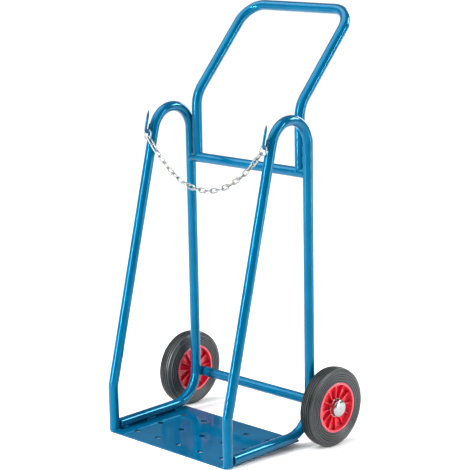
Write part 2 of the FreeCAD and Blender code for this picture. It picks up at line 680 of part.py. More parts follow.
# Weld beads. Stitches hold each rail to the plate, rings close the feet and rails against the legs,
# saddle beads follow the crossbar and handle joints, and short beads hold the axle tube and the hooks.
BEAD = 2.4
SMALL_BEAD = 1.7
RING_STAND = 0.4
FOOT_LIFT = 0.8
BUTT_GAP = RAIL_END_GAP + 1.0
INNER_STITCHES = ((0.03, 0.11), (0.376, 0.507), (0.792, 0.91))
OUTER_STITCHES = ((0.037, 0.094), (0.372, 0.477))
INNER_SPREAD = 9.5
INNER_LIFT = 1.4
OUTER_STAND = 1.2
OUTER_DROP = 0.6
leg_back = leg_y + tube_r


def rail_stitch(share_start, share_end, across, up):
    """Give a stitch bead beside a rail, from its start and end as shares of the rail's run on the plate."""
    run = back - leg_back
    return capsule(
        Vector(across, leg_back + run * share_start, up), Vector(across, leg_back + run * share_end, up), BEAD
    )


for side, sign in SIDES:
    beads = []
    for start, end in INNER_STITCHES:
        beads.append(rail_stitch(start, end, sign * (track - INNER_SPREAD), plate_top + INNER_LIFT))
    for start, end in OUTER_STITCHES:
        beads.append(rail_stitch(start, end, sign * (plate_half + OUTER_STAND), plate_top - OUTER_DROP))
    node(code_shape("rail_welds_" + side, Part.makeCompound(beads)), "rail_welds_" + side)
    foot = Part.makeTorus(tube_r + RING_STAND, BEAD, Vector(), Z_AXIS, -180, 180, 180)
    foot.rotate(Vector(), Z_AXIS, 90 if sign > 0 else -90)
    foot.translate(Vector(sign * track, leg_y, plate_top + FOOT_LIFT))
    butt_at = Vector(sign * track, leg_back + BUTT_GAP, rail_z)
    rail_ring = Part.makeTorus(tube_r + RING_STAND, BEAD, butt_at, Y_AXIS)
    node(code_shape("leg_welds_" + side, Part.makeCompound([foot, rail_ring])), "leg_welds_" + side)

ELLIPSE_LONG = tube_r * math.sqrt(2)
SADDLE_SPAN = math.radians(86)


def saddle_bead(centre, outward, upward):
    """Give the bead round one half of a saddle joint between two equal tubes at right angles."""
    slant = (outward + upward).normalize()
    flat = outward.cross(upward)
    curve = Part.Ellipse(centre + slant * ELLIPSE_LONG, centre + flat * tube_r, centre)
    arc = Part.ArcOfEllipse(curve, -SADDLE_SPAN, SADDLE_SPAN)
    return swept_bead([arc.toShape()], SMALL_BEAD)


SEAM_SPREAD = 5.5
SEAM_LENGTH = 22.0
SEAM_LOW = 14.0
SEAM_HIGH = 30.0
crossbar_beads = []
handle_beads = []
for side, sign in SIDES:
    joint = Vector(sign * track, 0, crossbar_z)
    inward = X_AXIS * -sign
    crossbar_beads.append(saddle_bead(joint, inward, Z_AXIS * -1))
    crossbar_beads.append(saddle_bead(joint, inward, Z_AXIS))
    foot = Vector(sign * handle_x, 0, crossbar_z)
    handle_beads.append(saddle_bead(foot, inward, Z_AXIS))
    for way in (-1, 1):
        for seam_z in (crossbar_z + tube_r + SEAM_LOW, arch_z - SEAM_HIGH):
            start = Vector(sign * (track - tube_r), way * SEAM_SPREAD, seam_z)
            handle_beads.append(capsule(start, start + Z_AXIS * SEAM_LENGTH, BEAD))
node(code_shape("crossbar_welds", Part.makeCompound(crossbar_beads)), "crossbar_welds")
node(code_shape("handle_welds", Part.makeCompound(handle_beads)), "handle_welds")

AXLE_BEAD_SPREAD = 0.65625
AXLE_BEAD_STAND = 0.6
AXLE_BEAD_HALF = 7.0
HOOK_BEAD_SPREAD = 3.6
HOOK_BEAD_STAND = 0.2
HOOK_BEAD_LOW = -2.0
HOOK_BEAD_TRIM = 4.0
axle_beads = []
hook_beads = []
for side, sign in SIDES:
    for way in (-1, 1):
        middle = Vector(sign * track, tube_r + AXLE_BEAD_STAND, axle_z + way * AXLE_BEAD_SPREAD * tube_r)
        half_bead = X_AXIS * AXLE_BEAD_HALF
        axle_beads.append(capsule(middle - half_bead, middle + half_bead, BEAD))
        aside = X_AXIS * (sign * track + way * HOOK_BEAD_SPREAD)
        low = aside + on_hook(tube_r + HOOK_BEAD_STAND, HOOK_BEAD_LOW)
        high = aside + on_hook(tube_r + HOOK_BEAD_STAND, size("hook_short") - HOOK_BEAD_TRIM)
        hook_beads.append(capsule(low, high, SMALL_BEAD))
node(code_shape("axle_welds", Part.makeCompound(axle_beads)), "axle_welds")
node(code_shape("hook_welds", Part.makeCompound(hook_beads)), "hook_welds")

doc.recompute()

# Lean the whole cart forward about the plate's front edge, then move its origin to the middle of the
# box that it fills, at floor level.
leaning = Placement(Vector(), Rotation(X_AXIS, math.degrees(rest_tilt)), Vector(0, front, 0))
MESH_STEP = 0.2
for part in nodes:
    part.Placement = leaning.multiply(part.Placement)
doc.recompute()
depths = [point.y for part in nodes for point in part.Shape.tessellate(MESH_STEP)[0]]
to_middle = Vector(0, -(min(depths) + max(depths)) / 2, 0)
for part in nodes:
    part.Placement = Placement(to_middle, NO_TURN).multiply(part.Placement)
doc.recompute()

# Nothing is written unless every object is sound.
for part in doc.Objects:
    if "Invalid" in part.State or "Error" in part.State:
        raise RuntimeError("unsound object: " + part.Label)
for part in nodes:
    if part.Shape.isNull() or not part.Shape.isValid():
        raise RuntimeError("unsound shape: " + part.Label)

os.makedirs("parts", exist_ok=True)
for part in nodes:
    part.Shape.exportStep(os.path.join("parts", part.Label + ".step"))
print("rest tilt", round(math.degrees(rest_tilt), 3), "shift", round(to_middle.y, 3), "nodes", len(nodes))
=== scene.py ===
import math

import bmesh
import bpy
from mathutils import Matrix, Vector


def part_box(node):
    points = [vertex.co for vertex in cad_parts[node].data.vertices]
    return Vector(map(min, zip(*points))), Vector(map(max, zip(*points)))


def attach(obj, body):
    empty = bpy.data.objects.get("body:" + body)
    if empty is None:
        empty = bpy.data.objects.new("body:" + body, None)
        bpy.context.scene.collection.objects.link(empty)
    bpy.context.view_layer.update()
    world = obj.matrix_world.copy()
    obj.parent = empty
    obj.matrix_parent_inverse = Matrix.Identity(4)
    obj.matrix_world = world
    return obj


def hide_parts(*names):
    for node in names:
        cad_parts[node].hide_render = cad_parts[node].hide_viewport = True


# Looks of a two-wheeled cart for a pair of gas cylinders. Shapes are laid out in the cart's own upright
# frame, in metres: X to the right, Y to the rear with 0 on the rear uprights, Z up from under the plate.
# The standing cart leans forward a little, and STAND carries every shape into that place.
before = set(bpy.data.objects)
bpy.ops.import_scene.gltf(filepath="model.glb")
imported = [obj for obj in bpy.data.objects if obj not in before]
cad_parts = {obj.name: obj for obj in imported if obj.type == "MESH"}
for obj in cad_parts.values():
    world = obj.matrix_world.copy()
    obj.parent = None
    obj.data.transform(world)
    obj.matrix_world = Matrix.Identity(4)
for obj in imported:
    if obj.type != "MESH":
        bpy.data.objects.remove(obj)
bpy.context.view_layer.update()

MM = 0.001
TUBE_R = 16 * MM
TRACK = 252 * MM
LEG_Y = -366 * MM
KNEE_Z = 149 * MM
LEG_LEAN = math.radians(14.6)
KNEE_BEND = 60 * MM
ARCH_BEND = 80.5 * MM
RAIL_BEND = 100 * MM
SHEET = 4 * MM
PLATE_HALF = 255 * MM
PLATE_FRONT = -383 * MM
PLATE_BACK = -52 * MM
CROSSBAR_Z = 835 * MM
HANDLE_KNEE_Z = 1035 * MM
HANDLE_RISE = 271 * MM
HANDLE_REACH = 249 * MM
HANDLE_KNEE_BEND = 95 * MM
HANDLE_CORNER_BEND = 72 * MM
AXLE_Z = 106 * MM
WHEEL_R = 125 * MM
WHEEL_HALF = 25 * MM
RIM_R = 78.5 * MM
HUB_R = 26 * MM
HUB_HALF = 27.5 * MM
HOOK_R = 4 * MM
HOOK_BEND = 7.5 * MM
WIRE_R = 2.5 * MM
LINKS = 23
LINK_PITCH = 25.2 * MM
LINK_ROOM = 0.2 * MM

RAIL_Z = SHEET + TUBE_R
RAIL_BEND_Z = RAIL_Z + RAIL_BEND
HANDLE_X = TRACK - 2 * TUBE_R
AXLE_Y = math.sqrt((RAIL_BEND + 2 * TUBE_R) ** 2 - (RAIL_BEND_Z - AXLE_Z) ** 2) - RAIL_BEND
ALONG_LEG = Vector((0, math.sin(LEG_LEAN), math.cos(LEG_LEAN)))
OUT_OF_LEG = Vector((0, -math.cos(LEG_LEAN), math.sin(LEG_LEAN)))
APEX_Z = KNEE_Z - LEG_Y / math.tan(LEG_LEAN)
ARCH_Z = APEX_Z - ARCH_BEND / math.tan(LEG_LEAN / 2)
LEG_TOP = Vector((0, -ARCH_BEND, ARCH_Z)) + OUT_OF_LEG * ARCH_BEND
SIDES = (("left", -1), ("right", 1))
X_WAY = Vector((1, 0, 0))
Z_WAY = Vector((0, 0, 1))

reach_back = AXLE_Y - PLATE_FRONT
REST_LEAN = math.asin(WHEEL_R / math.hypot(reach_back, AXLE_Z)) - math.atan2(AXLE_Z, reach_back)
LEAN_TURN = Matrix.Rotation(REST_LEAN, 4, "X")
axle_low, axle_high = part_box("axle_rod")
axle_spot = (Vector(axle_low) + Vector(axle_high)) / 2
STAND = Matrix.Translation(axle_spot - LEAN_TURN @ Vector((0, AXLE_Y, AXLE_Z))) @ LEAN_TURN


# ---------------------------------------------------------------- camera
VIEW_SIDE = math.radians(44.379)
VIEW_RISE = math.radians(12.578)
VIEW_ROLL = math.radians(-1.043)
VIEW_SPOT = Vector((3.45061, -3.58746, 1.72118))
back_way = Vector((
    math.sin(VIEW_SIDE) * math.cos(VIEW_RISE), -math.cos(VIEW_SIDE) * math.cos(VIEW_RISE), math.sin(VIEW_RISE)
))
level_right = Vector((math.cos(VIEW_SIDE), math.sin(VIEW_SIDE), 0))
level_up = back_way.cross(level_right)
right_way = level_right * math.cos(VIEW_ROLL) + level_up * math.sin(VIEW_ROLL)
up_way = level_up * math.cos(VIEW_ROLL) - level_right * math.sin(VIEW_ROLL)
view_turn = Matrix((right_way, up_way, back_way)).transposed().to_4x4()
camera_data = bpy.data.cameras.new("camera")
camera_data.sensor_width = 36.0
camera_data.lens = 124.06
camera_data.clip_end = 300.0
camera = bpy.data.objects.new("camera", camera_data)
bpy.context.scene.collection.objects.link(camera)
camera.matrix_world = STAND @ Matrix.Translation(VIEW_SPOT) @ view_turn
bpy.context.scene.camera = camera


# ---------------------------------------------------------------- node and colour helpers
def step(tree, kind, inputs=None, **settings):
    """Add a node, set its properties, then fill or link its inputs."""
    made = tree.nodes.new(kind)
    for name, value in settings.items():
        setattr(made, name, value)
    for key, value in (inputs or {}).items():
        if isinstance(value, bpy.types.Node):
            value = value.outputs[0]
        if isinstance(value, bpy.types.NodeSocket):
            tree.links.new(value, made.inputs[key])
        else:
            made.inputs[key].default_value = value
    return made


def colour(code):
    """Turn an sRGB hex colour into the linear colour that a node takes."""
    channels = []
    for start in (1, 3, 5):
        level = int(code[start:start + 2], 16) / 255
        channels.append(level / 12.92 if level <= 0.04045 else ((level + 0.055) / 1.055) ** 2.4)
    return (*channels, 1.0)


def finish(name, **uniform):
    """Start a material and set its shader's uniform values; give the material, its tree and the shader."""
    material = bpy.data.materials.new(name)
    material.use_nodes = True
    tree = material.node_tree
    shader = tree.nodes["Principled BSDF"]
    for socket, value in uniform.items():
        shader.inputs[socket.replace("_", " ")].default_value = value
    return material, tree, shader


def grain(tree, size, detail=2.0, stretch=(1, 1, 1), rough=0.5):
    """Noise whose blobs are about one size across, in metres, on the piece's own coordinates."""
    place = step(tree, "ShaderNodeTexCoord")
    scaled = step(tree, "ShaderNodeMapping", {"Vector": place.outputs["Object"], "Scale": stretch})
    return step(
        tree, "ShaderNodeTexNoise",
        {"Vector": scaled, "Scale": 1 / size, "Detail": detail, "Roughness": rough},
    ).outputs["Fac"]


def ramp(tree, factor, low, high, bottom=0.0, top=1.0):
    """Map a factor between two levels onto another range, held at both ends."""
    return step(
        tree, "ShaderNodeMapRange",
        {"Value": factor, "From Min": low, "From Max": high, "To Min": bottom, "To Max": top},
    ).outputs["Result"]


def blend(tree, factor, under, over):
    """Mix two colours by a factor socket; each colour may be a hex code or a socket."""
    mixed = step(tree, "ShaderNodeMix", data_type="RGBA")
    for value, socket in ((factor, mixed.inputs[0]), (under, mixed.inputs[6]), (over, mixed.inputs[7])):
        if isinstance(value, str):
            socket.default_value = colour(value)
        else:
            tree.links.new(value, socket)
    return mixed.outputs[2]


def relief(tree, shader, *layers):
    """Stack bump layers, each a height socket and its depth in metres."""
    under = None
    for height, depth in layers:
        made = step(tree, "ShaderNodeBump", {"Height": height, "Distance": depth, "Strength": 1.0})
        if under:
            tree.links.new(under.outputs[0], made.inputs["Normal"])
        under = made
    tree.links.new(under.outputs[0], shader.inputs["Normal"])


# ---------------------------------------------------------------- materials
BLUE_GLINT = "#35BEEB"


def powder_coat(name, bend_of_light):
    # Polyester powder, sprayed on steel and baked. The eye gets a deep even teal blue whose highlights stay
    # blue, with a faint orange peel, a few rub marks and here and there a chip down to the grey primer.
    # The flat sheet is set to bend light less than the tubes do, because a broad face mirrors far more.
    material, tree, shader = finish(
        name, Coat_Weight=0.05, Coat_Roughness=0.05, IOR=bend_of_light, Specular_IOR_Level=1.0,
        Specular_Tint=colour(BLUE_GLINT),
    )
    drift = ramp(tree, grain(tree, 90 * MM, 3), 0.3, 0.7)
    paint = blend(tree, drift, "#00486A", "#005377")
    chips = ramp(tree, grain(tree, 5 * MM, 4), 0.8, 0.81)
    paint = blend(tree, chips, paint, "#5B6A73")
    rubs = ramp(tree, grain(tree, 22 * MM, 6, rough=0.7), 0.55, 0.75, 0.09, 0.2)
    tree.links.new(paint, shader.inputs["Base Color"])
    tree.links.new(rubs, shader.inputs["Roughness"])
    peel = grain(tree, 1.8 * MM, 1)
    wave = grain(tree, 14 * MM, 1)
    relief(tree, shader, (wave, 0.02 * MM), (peel, 0.004 * MM))
    return material


def painted_weld():
    # Welded beads under the same powder coat: heaped ripples hold more paint, so they look fatter and
    # slightly rougher than the tube, with pin-sized spatter.
    material, tree, shader = finish(
        "painted_weld_bead", Coat_Weight=0.05, Coat_Roughness=0.1, IOR=1.5, Specular_Tint=colour(BLUE_GLINT),
    )
    # Painted highlight: both blues are paler than the tube's, so the beads read as catching the light.
    heaped = ramp(tree, grain(tree, 7 * MM, 3), 0.35, 0.65)
    tree.links.new(blend(tree, heaped, "#045A80", "#0F7299"), shader.inputs["Base Color"])
    tree.links.new(ramp(tree, grain(tree, 3 * MM, 3), 0.3, 0.7, 0.2, 0.4), shader.inputs["Roughness"])
    relief(tree, shader, (grain(tree, 1.2 * MM, 2), 0.12 * MM))
    return material


def moulded_polypropylene():
    # Injection-moulded red polypropylene: waxy gloss and slight flow clouding. The lip and the rib crests
    # carry a
    # painted highlight: their red is painted paler, standing in for the white surroundings they mirror.
    material, tree, shader = finish(
        "moulded_red_polypropylene", IOR=1.49, Subsurface_Weight=0.12, Subsurface_Scale=2 * MM,
        Coat_Weight=0.5, Coat_Roughness=0.12,
    )
    shader.inputs["Subsurface Radius"].default_value = (1.0, 0.25, 0.2)
    cloud = ramp(tree, grain(tree, 26 * MM, 4), 0.3, 0.7)
    red = blend(tree, cloud, "#D00A24", "#E01332")
    reach = step(tree, "ShaderNodeAttribute", attribute_name="reach").outputs["Fac"]
    # Painted highlight: the red is painted paler towards the lip by its reach, as a reflection of the white
    # surroundings.
    lip_highlight = ramp(tree, reach, 70.5 * MM, 73.5 * MM, 0.0, 0.75)
    red = blend(tree, lip_highlight, red, "#E8435A")
    scuff = ramp(tree, grain(tree, 1.5 * MM, 5, (1, 1, 0.2)), 0.62, 0.75, 0.0, 0.35)
    red = blend(tree, scuff, red, "#D8566A")
    tree.links.new(red, shader.inputs["Base Color"])
    tree.links.new(ramp(tree, grain(tree, 9 * MM, 5), 0.3, 0.7, 0.26, 0.44), shader.inputs["Roughness"])
    relief(tree, shader, (grain(tree, 6 * MM, 2), 0.05 * MM), (grain(tree, 0.9 * MM, 2), 0.01 * MM))
    return material


def moulded_rubber():
    # Press-moulded black rubber, grey with bloom: half matt, with a fine pebbled skin and specks of pale
    # dust, paler on the flanks than on the tread, and painted shade, near black, down in the grooves.
    material, tree, shader = finish("moulded_bloomed_rubber", IOR=1.52)
    bloom = ramp(tree, grain(tree, 30 * MM, 5, rough=0.65), 0.3, 0.72)
    grey = blend(tree, bloom, "#1C2225", "#272F32")
    reach = step(tree, "ShaderNodeAttribute", attribute_name="reach").outputs["Fac"]
    flank = ramp(tree, reach, 112 * MM, 117 * MM, 0.75, 0.0)
    grey = blend(tree, flank, grey, "#353E42")
    dust = ramp(tree, grain(tree, 2.2 * MM, 6, rough=0.75), 0.56, 0.8, 0.0, 0.5)
    grey = blend(tree, dust, grey, "#565B5D")
    # Painted shade: the grooves are painted near black by how deep they lie.
    hollow = step(tree, "ShaderNodeAttribute", attribute_name="hollow").outputs["Fac"]
    grey = blend(tree, ramp(tree, hollow, 0.05, 0.45, 0.0, 0.95), grey, "#040505")
    tree.links.new(grey, shader.inputs["Base Color"])
    tree.links.new(ramp(tree, grain(tree, 12 * MM, 4), 0.3, 0.7, 0.3, 0.44), shader.inputs["Roughness"])
    relief(tree, shader, (grain(tree, 3.5 * MM, 3), 0.12 * MM), (grain(tree, 0.8 * MM, 2), 0.05 * MM))
    return material


def bright_cap():
    # Pressed steel, nickel and chrome plated: a near mirror, with draw marks left round it by the press.
    material, tree, shader = finish("chromed_pressed_steel", Metallic=1.0)
    tarnish = ramp(tree, grain(tree, 9 * MM, 4), 0.45, 0.8, 0.0, 0.5)
    tree.links.new(blend(tree, tarnish, "#A4A6A7", "#7E8183"), shader.inputs["Base Color"])
    haze = ramp(tree, grain(tree, 4 * MM, 6, rough=0.7), 0.4, 0.75, 0.17, 0.3)
    tree.links.new(haze, shader.inputs["Roughness"])
    draw = grain(tree, 1.1 * MM, 2, (1, 0.15, 0.15))
    relief(tree, shader, (grain(tree, 11 * MM, 1), 0.12 * MM), (draw, 0.006 * MM))
    return material


def zinc_plate():
    # Electroplated zinc on welded wire: pale silver with a milky bloom, faint yellow and blue passivation
    # and a slightly grainy skin.
    material, tree, shader = finish("bright_zinc_plate", Metallic=1.0)
    milky = ramp(tree, grain(tree, 6 * MM, 4), 0.35, 0.7)
    zinc = blend(tree, milky, "#A3A8AA", "#7F8588")
    tint = ramp(tree, grain(tree, 17 * MM, 3), 0.5, 0.75, 0.0, 0.45)
    zinc = blend(tree, tint, zinc, "#CFC9A8")
    tree.links.new(zinc, shader.inputs["Base Color"])
    tree.links.new(ramp(tree, grain(tree, 2.5 * MM, 4), 0.3, 0.7, 0.2, 0.42), shader.inputs["Roughness"])
    relief(tree, shader, (grain(tree, 1.0 * MM, 3), 0.04 * MM))
    return material


def turned_steel(name, shade, dark):
    # Bright drawn or turned steel under a film of oil: fine lines round the bar and darker oily patches.
    material, tree, shader = finish(name, Metallic=1.0)
    oil = ramp(tree, grain(tree, 8 * MM, 4), 0.4, 0.75)
    tree.links.new(blend(tree, oil, shade, dark), shader.inputs["Base Color"])
    tree.links.new(ramp(tree, grain(tree, 5 * MM, 3), 0.3, 0.7, 0.22, 0.4), shader.inputs["Roughness"])
    relief(tree, shader, (grain(tree, 0.7 * MM, 2, (1, 0.1, 0.1)), 0.02 * MM))
    return material


tube_paint = powder_coat("blue_powder_coat_tube", 1.5)
plate_paint = powder_coat("blue_powder_coat_sheet", 1.2)
weld_paint = painted_weld()
red_plastic = moulded_polypropylene()
rubber = moulded_rubber()
chrome = bright_cap()
zinc = zinc_plate()
axle_metal = turned_steel("drawn_bright_steel", "#B9B6B0", "#8E8A84")
bush_metal = turned_steel("turned_bearing_steel", "#A9A49A", "#77716A")


# ---------------------------------------------------------------- shape helpers
MERGE_WITHIN = 0.002 * MM


def bare_mesh(name, points, lines, **values):
    """Make a mesh of points and lines, with named values on its points for a node tree to read."""
    mesh = bpy.data.meshes.new(name)
    mesh.from_pydata([tuple(point) for point in points], lines, [])
    for label, numbers in values.items():
        vector = not isinstance(numbers[0], (int, float))
        kind = "FLOAT_VECTOR" if vector else "FLOAT"
        attribute = mesh.attributes.new(label, kind, "POINT")
        for spot, number in zip(attribute.data, numbers):
            if vector:
                spot.vector = number
            else:
                spot.value = number
    return mesh


def runs_mesh(name, runs):
    """Make one mesh from several runs of points; each point is a place, a bend radius and a girth."""
    points, lines, bends, girths = [], [], [], []
    for run in runs:
        first = len(points)
        for place, bend, girth in run:
            points.append(place)
            bends.append(float(bend))
            girths.append(float(girth))
        lines.extend((index, index + 1) for index in range(first, len(points) - 1))
    return bare_mesh(name, points, lines, bend=bends, girth=girths)


def put(name, mesh, material, body, node_names, crease=35):
    """Finish a piece: smooth it up to a crease angle, stand it in its place and tie it to the frame."""
    mesh.materials.clear()
    mesh.materials.append(material)
    mesh.transform(STAND)
    mesh.shade_smooth()
    mesh.set_sharp_from_angle(angle=math.radians(crease))
    piece = bpy.data.objects.new(name, mesh)
    bpy.context.scene.collection.objects.link(piece)
    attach(piece, body)
    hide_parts(*node_names)


def outward(mesh):
    """Merge doubles and turn every face of a closed shape outwards."""
    work = bmesh.new()
    work.from_mesh(mesh)
    bmesh.ops.remove_doubles(work, verts=work.verts, dist=MERGE_WITHIN)
    bmesh.ops.recalc_face_normals(work, faces=work.faces)
    work.to_mesh(mesh)
    work.free()
    return mesh


def grow(tree, start, **values):
    """Run a node tree on a starting mesh and give the result as a plain mesh."""
    holder = bpy.data.objects.new("holder", start)
    bpy.context.scene.collection.objects.link(holder)
    build = holder.modifiers.new("build", "NODES")
    build.node_group = tree
    for socket in tree.interface.items_tree:
        key = socket.name.replace(" ", "_")
        if socket.in_out == "INPUT" and key in values:
            build[socket.identifier] = values[key]
    graph = bpy.context.evaluated_depsgraph_get()
    mesh = bpy.data.meshes.new_from_object(holder.evaluated_get(graph), depsgraph=graph)
    holder.modifiers.remove(build)
    bpy.data.objects.remove(holder)
    return outward(mesh)


def tree_with(name, **sockets):
    """Start a geometry tree whose first input and only output are geometry; give it and its inputs."""
    tree = bpy.data.node_groups.new(name, "GeometryNodeTree")
    tree.interface.new_socket("Start", in_out="INPUT", socket_type="NodeSocketGeometry")
    for label, kind in sockets.items():
        tree.interface.new_socket(label.replace("_", " "), in_out="INPUT", socket_type="NodeSocket" + kind)
    tree.interface.new_socket("Result", in_out="OUTPUT", socket_type="NodeSocketGeometry")
    return tree, tree.nodes.new("NodeGroupInput").outputs


def end_tree(tree, geometry, finish_socket):
    """Close a geometry tree: make instances real, give the finish and pass the result out."""
    real = step(tree, "GeometryNodeRealizeInstances", {"Geometry": geometry})
    coated = step(tree, "GeometryNodeSetMaterial", {"Geometry": real, "Material": finish_socket})
    step(tree, "NodeGroupOutput", {"Result": coated})
    return tree


def named(tree, label, kind="FLOAT"):
    """Read a named value from the geometry."""
    return step(tree, "GeometryNodeInputNamedAttribute", {"Name": label}, data_type=kind).outputs["Attribute"]


def calculate(tree, what, first, second=0.0):
    """One step of arithmetic."""
    return step(tree, "ShaderNodeMath", {0: first, 1: second}, operation=what).outputs[0]


# ---------------------------------------------------------------- node trees
def bent_tube_tree():
    """Round bar or tube along straight runs, bent at each corner to its own radius."""
    tree, given = tree_with("bent_tube", Radius="Float", Sides="Int", Bend_steps="Int", Finish="Material")
    line = step(tree, "GeometryNodeMeshToCurve", {"Mesh": given["Start"]})
    bent = step(
        tree, "GeometryNodeFilletCurve",
        {"Curve": line, "Count": given["Bend steps"], "Radius": named(tree, "bend"), "Limit Radius": True},
        mode="POLY",
    )
    section = step(
        tree, "GeometryNodeCurvePrimitiveCircle", {"Resolution": given["Sides"], "Radius": given["Radius"]}
    )
    skin = step(
        tree, "GeometryNodeCurveToMesh",
        {"Curve": bent, "Profile Curve": section, "Scale": named(tree, "girth"), "Fill Caps": True},
    )
    return end_tree(tree, skin, given["Finish"])


LUMPS_PER_METRE = 260.0
STATIONS_PER_RIPPLE = 4.0
RIPPLE_MEAN = 0.9
RIPPLE_SWING = 0.09
END_SHARPNESS = 10.0
END_LEAST = 0.02


def weld_bead_tree():
    """Heaped weld ripples along each line, tapering to round ends, a little uneven."""
    tree, given = tree_with(
        "weld_bead", Radius="Float", Ripple="Float", Unevenness="Float", Seed="Int", Finish="Material"
    )
    line = step(tree, "GeometryNodeMeshToCurve", {"Mesh": given["Start"]})
    stations = step(
        tree, "GeometryNodeResampleCurve",
        {"Curve": line, "Length": calculate(tree, "DIVIDE", given["Ripple"], STATIONS_PER_RIPPLE)},
        mode="LENGTH",
    )
    along = step(tree, "GeometryNodeSplineParameter")
    wave = calculate(tree, "DIVIDE", along.outputs["Length"], given["Ripple"])
    wave = calculate(tree, "SINE", calculate(tree, "MULTIPLY", wave, 2 * math.pi))
    wave = calculate(tree, "ADD", calculate(tree, "MULTIPLY", wave, RIPPLE_SWING), RIPPLE_MEAN)
    centred = calculate(tree, "SUBTRACT", calculate(tree, "MULTIPLY", along.outputs["Factor"], 2.0), 1.0)
    end = calculate(tree, "POWER", calculate(tree, "ABSOLUTE", centred), END_SHARPNESS)
    left_over = calculate(tree, "MAXIMUM", calculate(tree, "SUBTRACT", 1.0, end), END_LEAST)
    taper = calculate(tree, "SQRT", left_over)
    girth = calculate(tree, "MULTIPLY", wave, taper)
    section = step(tree, "GeometryNodeCurvePrimitiveCircle", {"Resolution": 12, "Radius": given["Radius"]})
    skin = step(
        tree, "GeometryNodeCurveToMesh",
        {"Curve": stations, "Profile Curve": section, "Scale": girth, "Fill Caps": True},
    )
    place = step(tree, "GeometryNodeInputPosition")
    noise = step(
        tree, "ShaderNodeTexNoise",
        {"Vector": place, "W": given["Seed"], "Scale": LUMPS_PER_METRE, "Detail": 1.0}, noise_dimensions="4D",
    )
    swing = step(
        tree, "ShaderNodeVectorMath", {0: noise.outputs["Color"], 1: (0.5, 0.5, 0.5)}, operation="SUBTRACT"
    )
    push = step(tree, "ShaderNodeVectorMath", operation="SCALE")
    tree.links.new(swing.outputs[0], push.inputs[0])
    tree.links.new(given["Unevenness"], push.inputs["Scale"])
    uneven = step(tree, "GeometryNodeSetPosition", {"Geometry": skin, "Offset": push.outputs[0]})
    return end_tree(tree, uneven, given["Finish"])


LINK_BEND_SHARE = 0.9999
STATION_PER_WIRE = 0.7


def chain_tree():
    """Welded wire links, one on each point, turned as the point says, each with its weld's swelling."""
    tree, given = tree_with(
        "welded_links", Inside_length="Float", Inside_width="Float", Wire_radius="Float", Weld_swell="Float",
        Sides="Int", Finish="Material",
    )
    wire = calculate(tree, "MULTIPLY", given["Wire radius"], 2.0)
    outline = step(
        tree, "GeometryNodeCurvePrimitiveQuadrilateral",
        {
            "Width": calculate(tree, "ADD", given["Inside length"], wire),
            "Height": calculate(tree, "ADD", given["Inside width"], wire),
        },
    )
    bend = calculate(tree, "ADD", calculate(tree, "DIVIDE", given["Inside width"], 2.0), given["Wire radius"])
    bend = calculate(tree, "MULTIPLY", bend, LINK_BEND_SHARE)
    rounded = step(
        tree, "GeometryNodeFilletCurve", {"Curve": outline, "Count": 6, "Radius": bend}, mode="POLY"
    )
    even = step(
        tree, "GeometryNodeResampleCurve",
        {"Curve": rounded, "Length": calculate(tree, "MULTIPLY", given["Wire radius"], STATION_PER_WIRE)},
        mode="LENGTH",
    )
    place = step(tree, "ShaderNodeSeparateXYZ", {0: step(tree, "GeometryNodeInputPosition")})
    off = calculate(tree, "ABSOLUTE", calculate(tree, "DIVIDE", place.outputs["X"], wire))
    near = calculate(tree, "MAXIMUM", calculate(tree, "SUBTRACT", 1.0, off), 0.0)
    upper = calculate(tree, "GREATER_THAN", place.outputs["Y"], 0.0)
    swell = calculate(tree, "MULTIPLY", calculate(tree, "MULTIPLY", near, upper), given["Weld swell"])
    section = step(
        tree, "GeometryNodeCurvePrimitiveCircle",
        {"Resolution": given["Sides"], "Radius": given["Wire radius"]},
    )
    link = step(
        tree, "GeometryNodeCurveToMesh",
        {"Curve": even, "Profile Curve": section, "Scale": calculate(tree, "ADD", swell, 1.0)},
    )
    turn = step(tree, "FunctionNodeEulerToRotation", {0: named(tree, "turn", "FLOAT_VECTOR")})
    row = step(
        tree, "GeometryNodeInstanceOnPoints", {"Points": given["Start"], "Instance": link, "Rotation": turn}
    )
    return end_tree(tree, row, given["Finish"])


def rib_tree():
    """One rib repeated evenly round the X axis."""
    tree, given = tree_with("wheel_ribs", Count="Int", Finish="Material")
    dots = step(tree, "GeometryNodeMeshCircle", {"Vertices": given["Count"], "Radius": 1 * MM})
    spin = calculate(tree, "DIVIDE", step(tree, "GeometryNodeInputIndex").outputs[0], given["Count"])
    spin = calculate(tree, "MULTIPLY", spin, 2 * math.pi)
    angle = step(tree, "ShaderNodeCombineXYZ", {"X": spin})
    middle = step(tree, "GeometryNodeSetPosition", {"Geometry": dots, "Position": (0.0, 0.0, 0.0)})
    turn = step(tree, "FunctionNodeEulerToRotation", {0: angle})
    ribs = step(
        tree, "GeometryNodeInstanceOnPoints", {"Points": middle, "Instance": given["Start"], "Rotation": turn}
    )
    return end_tree(tree, ribs, given["Finish"])


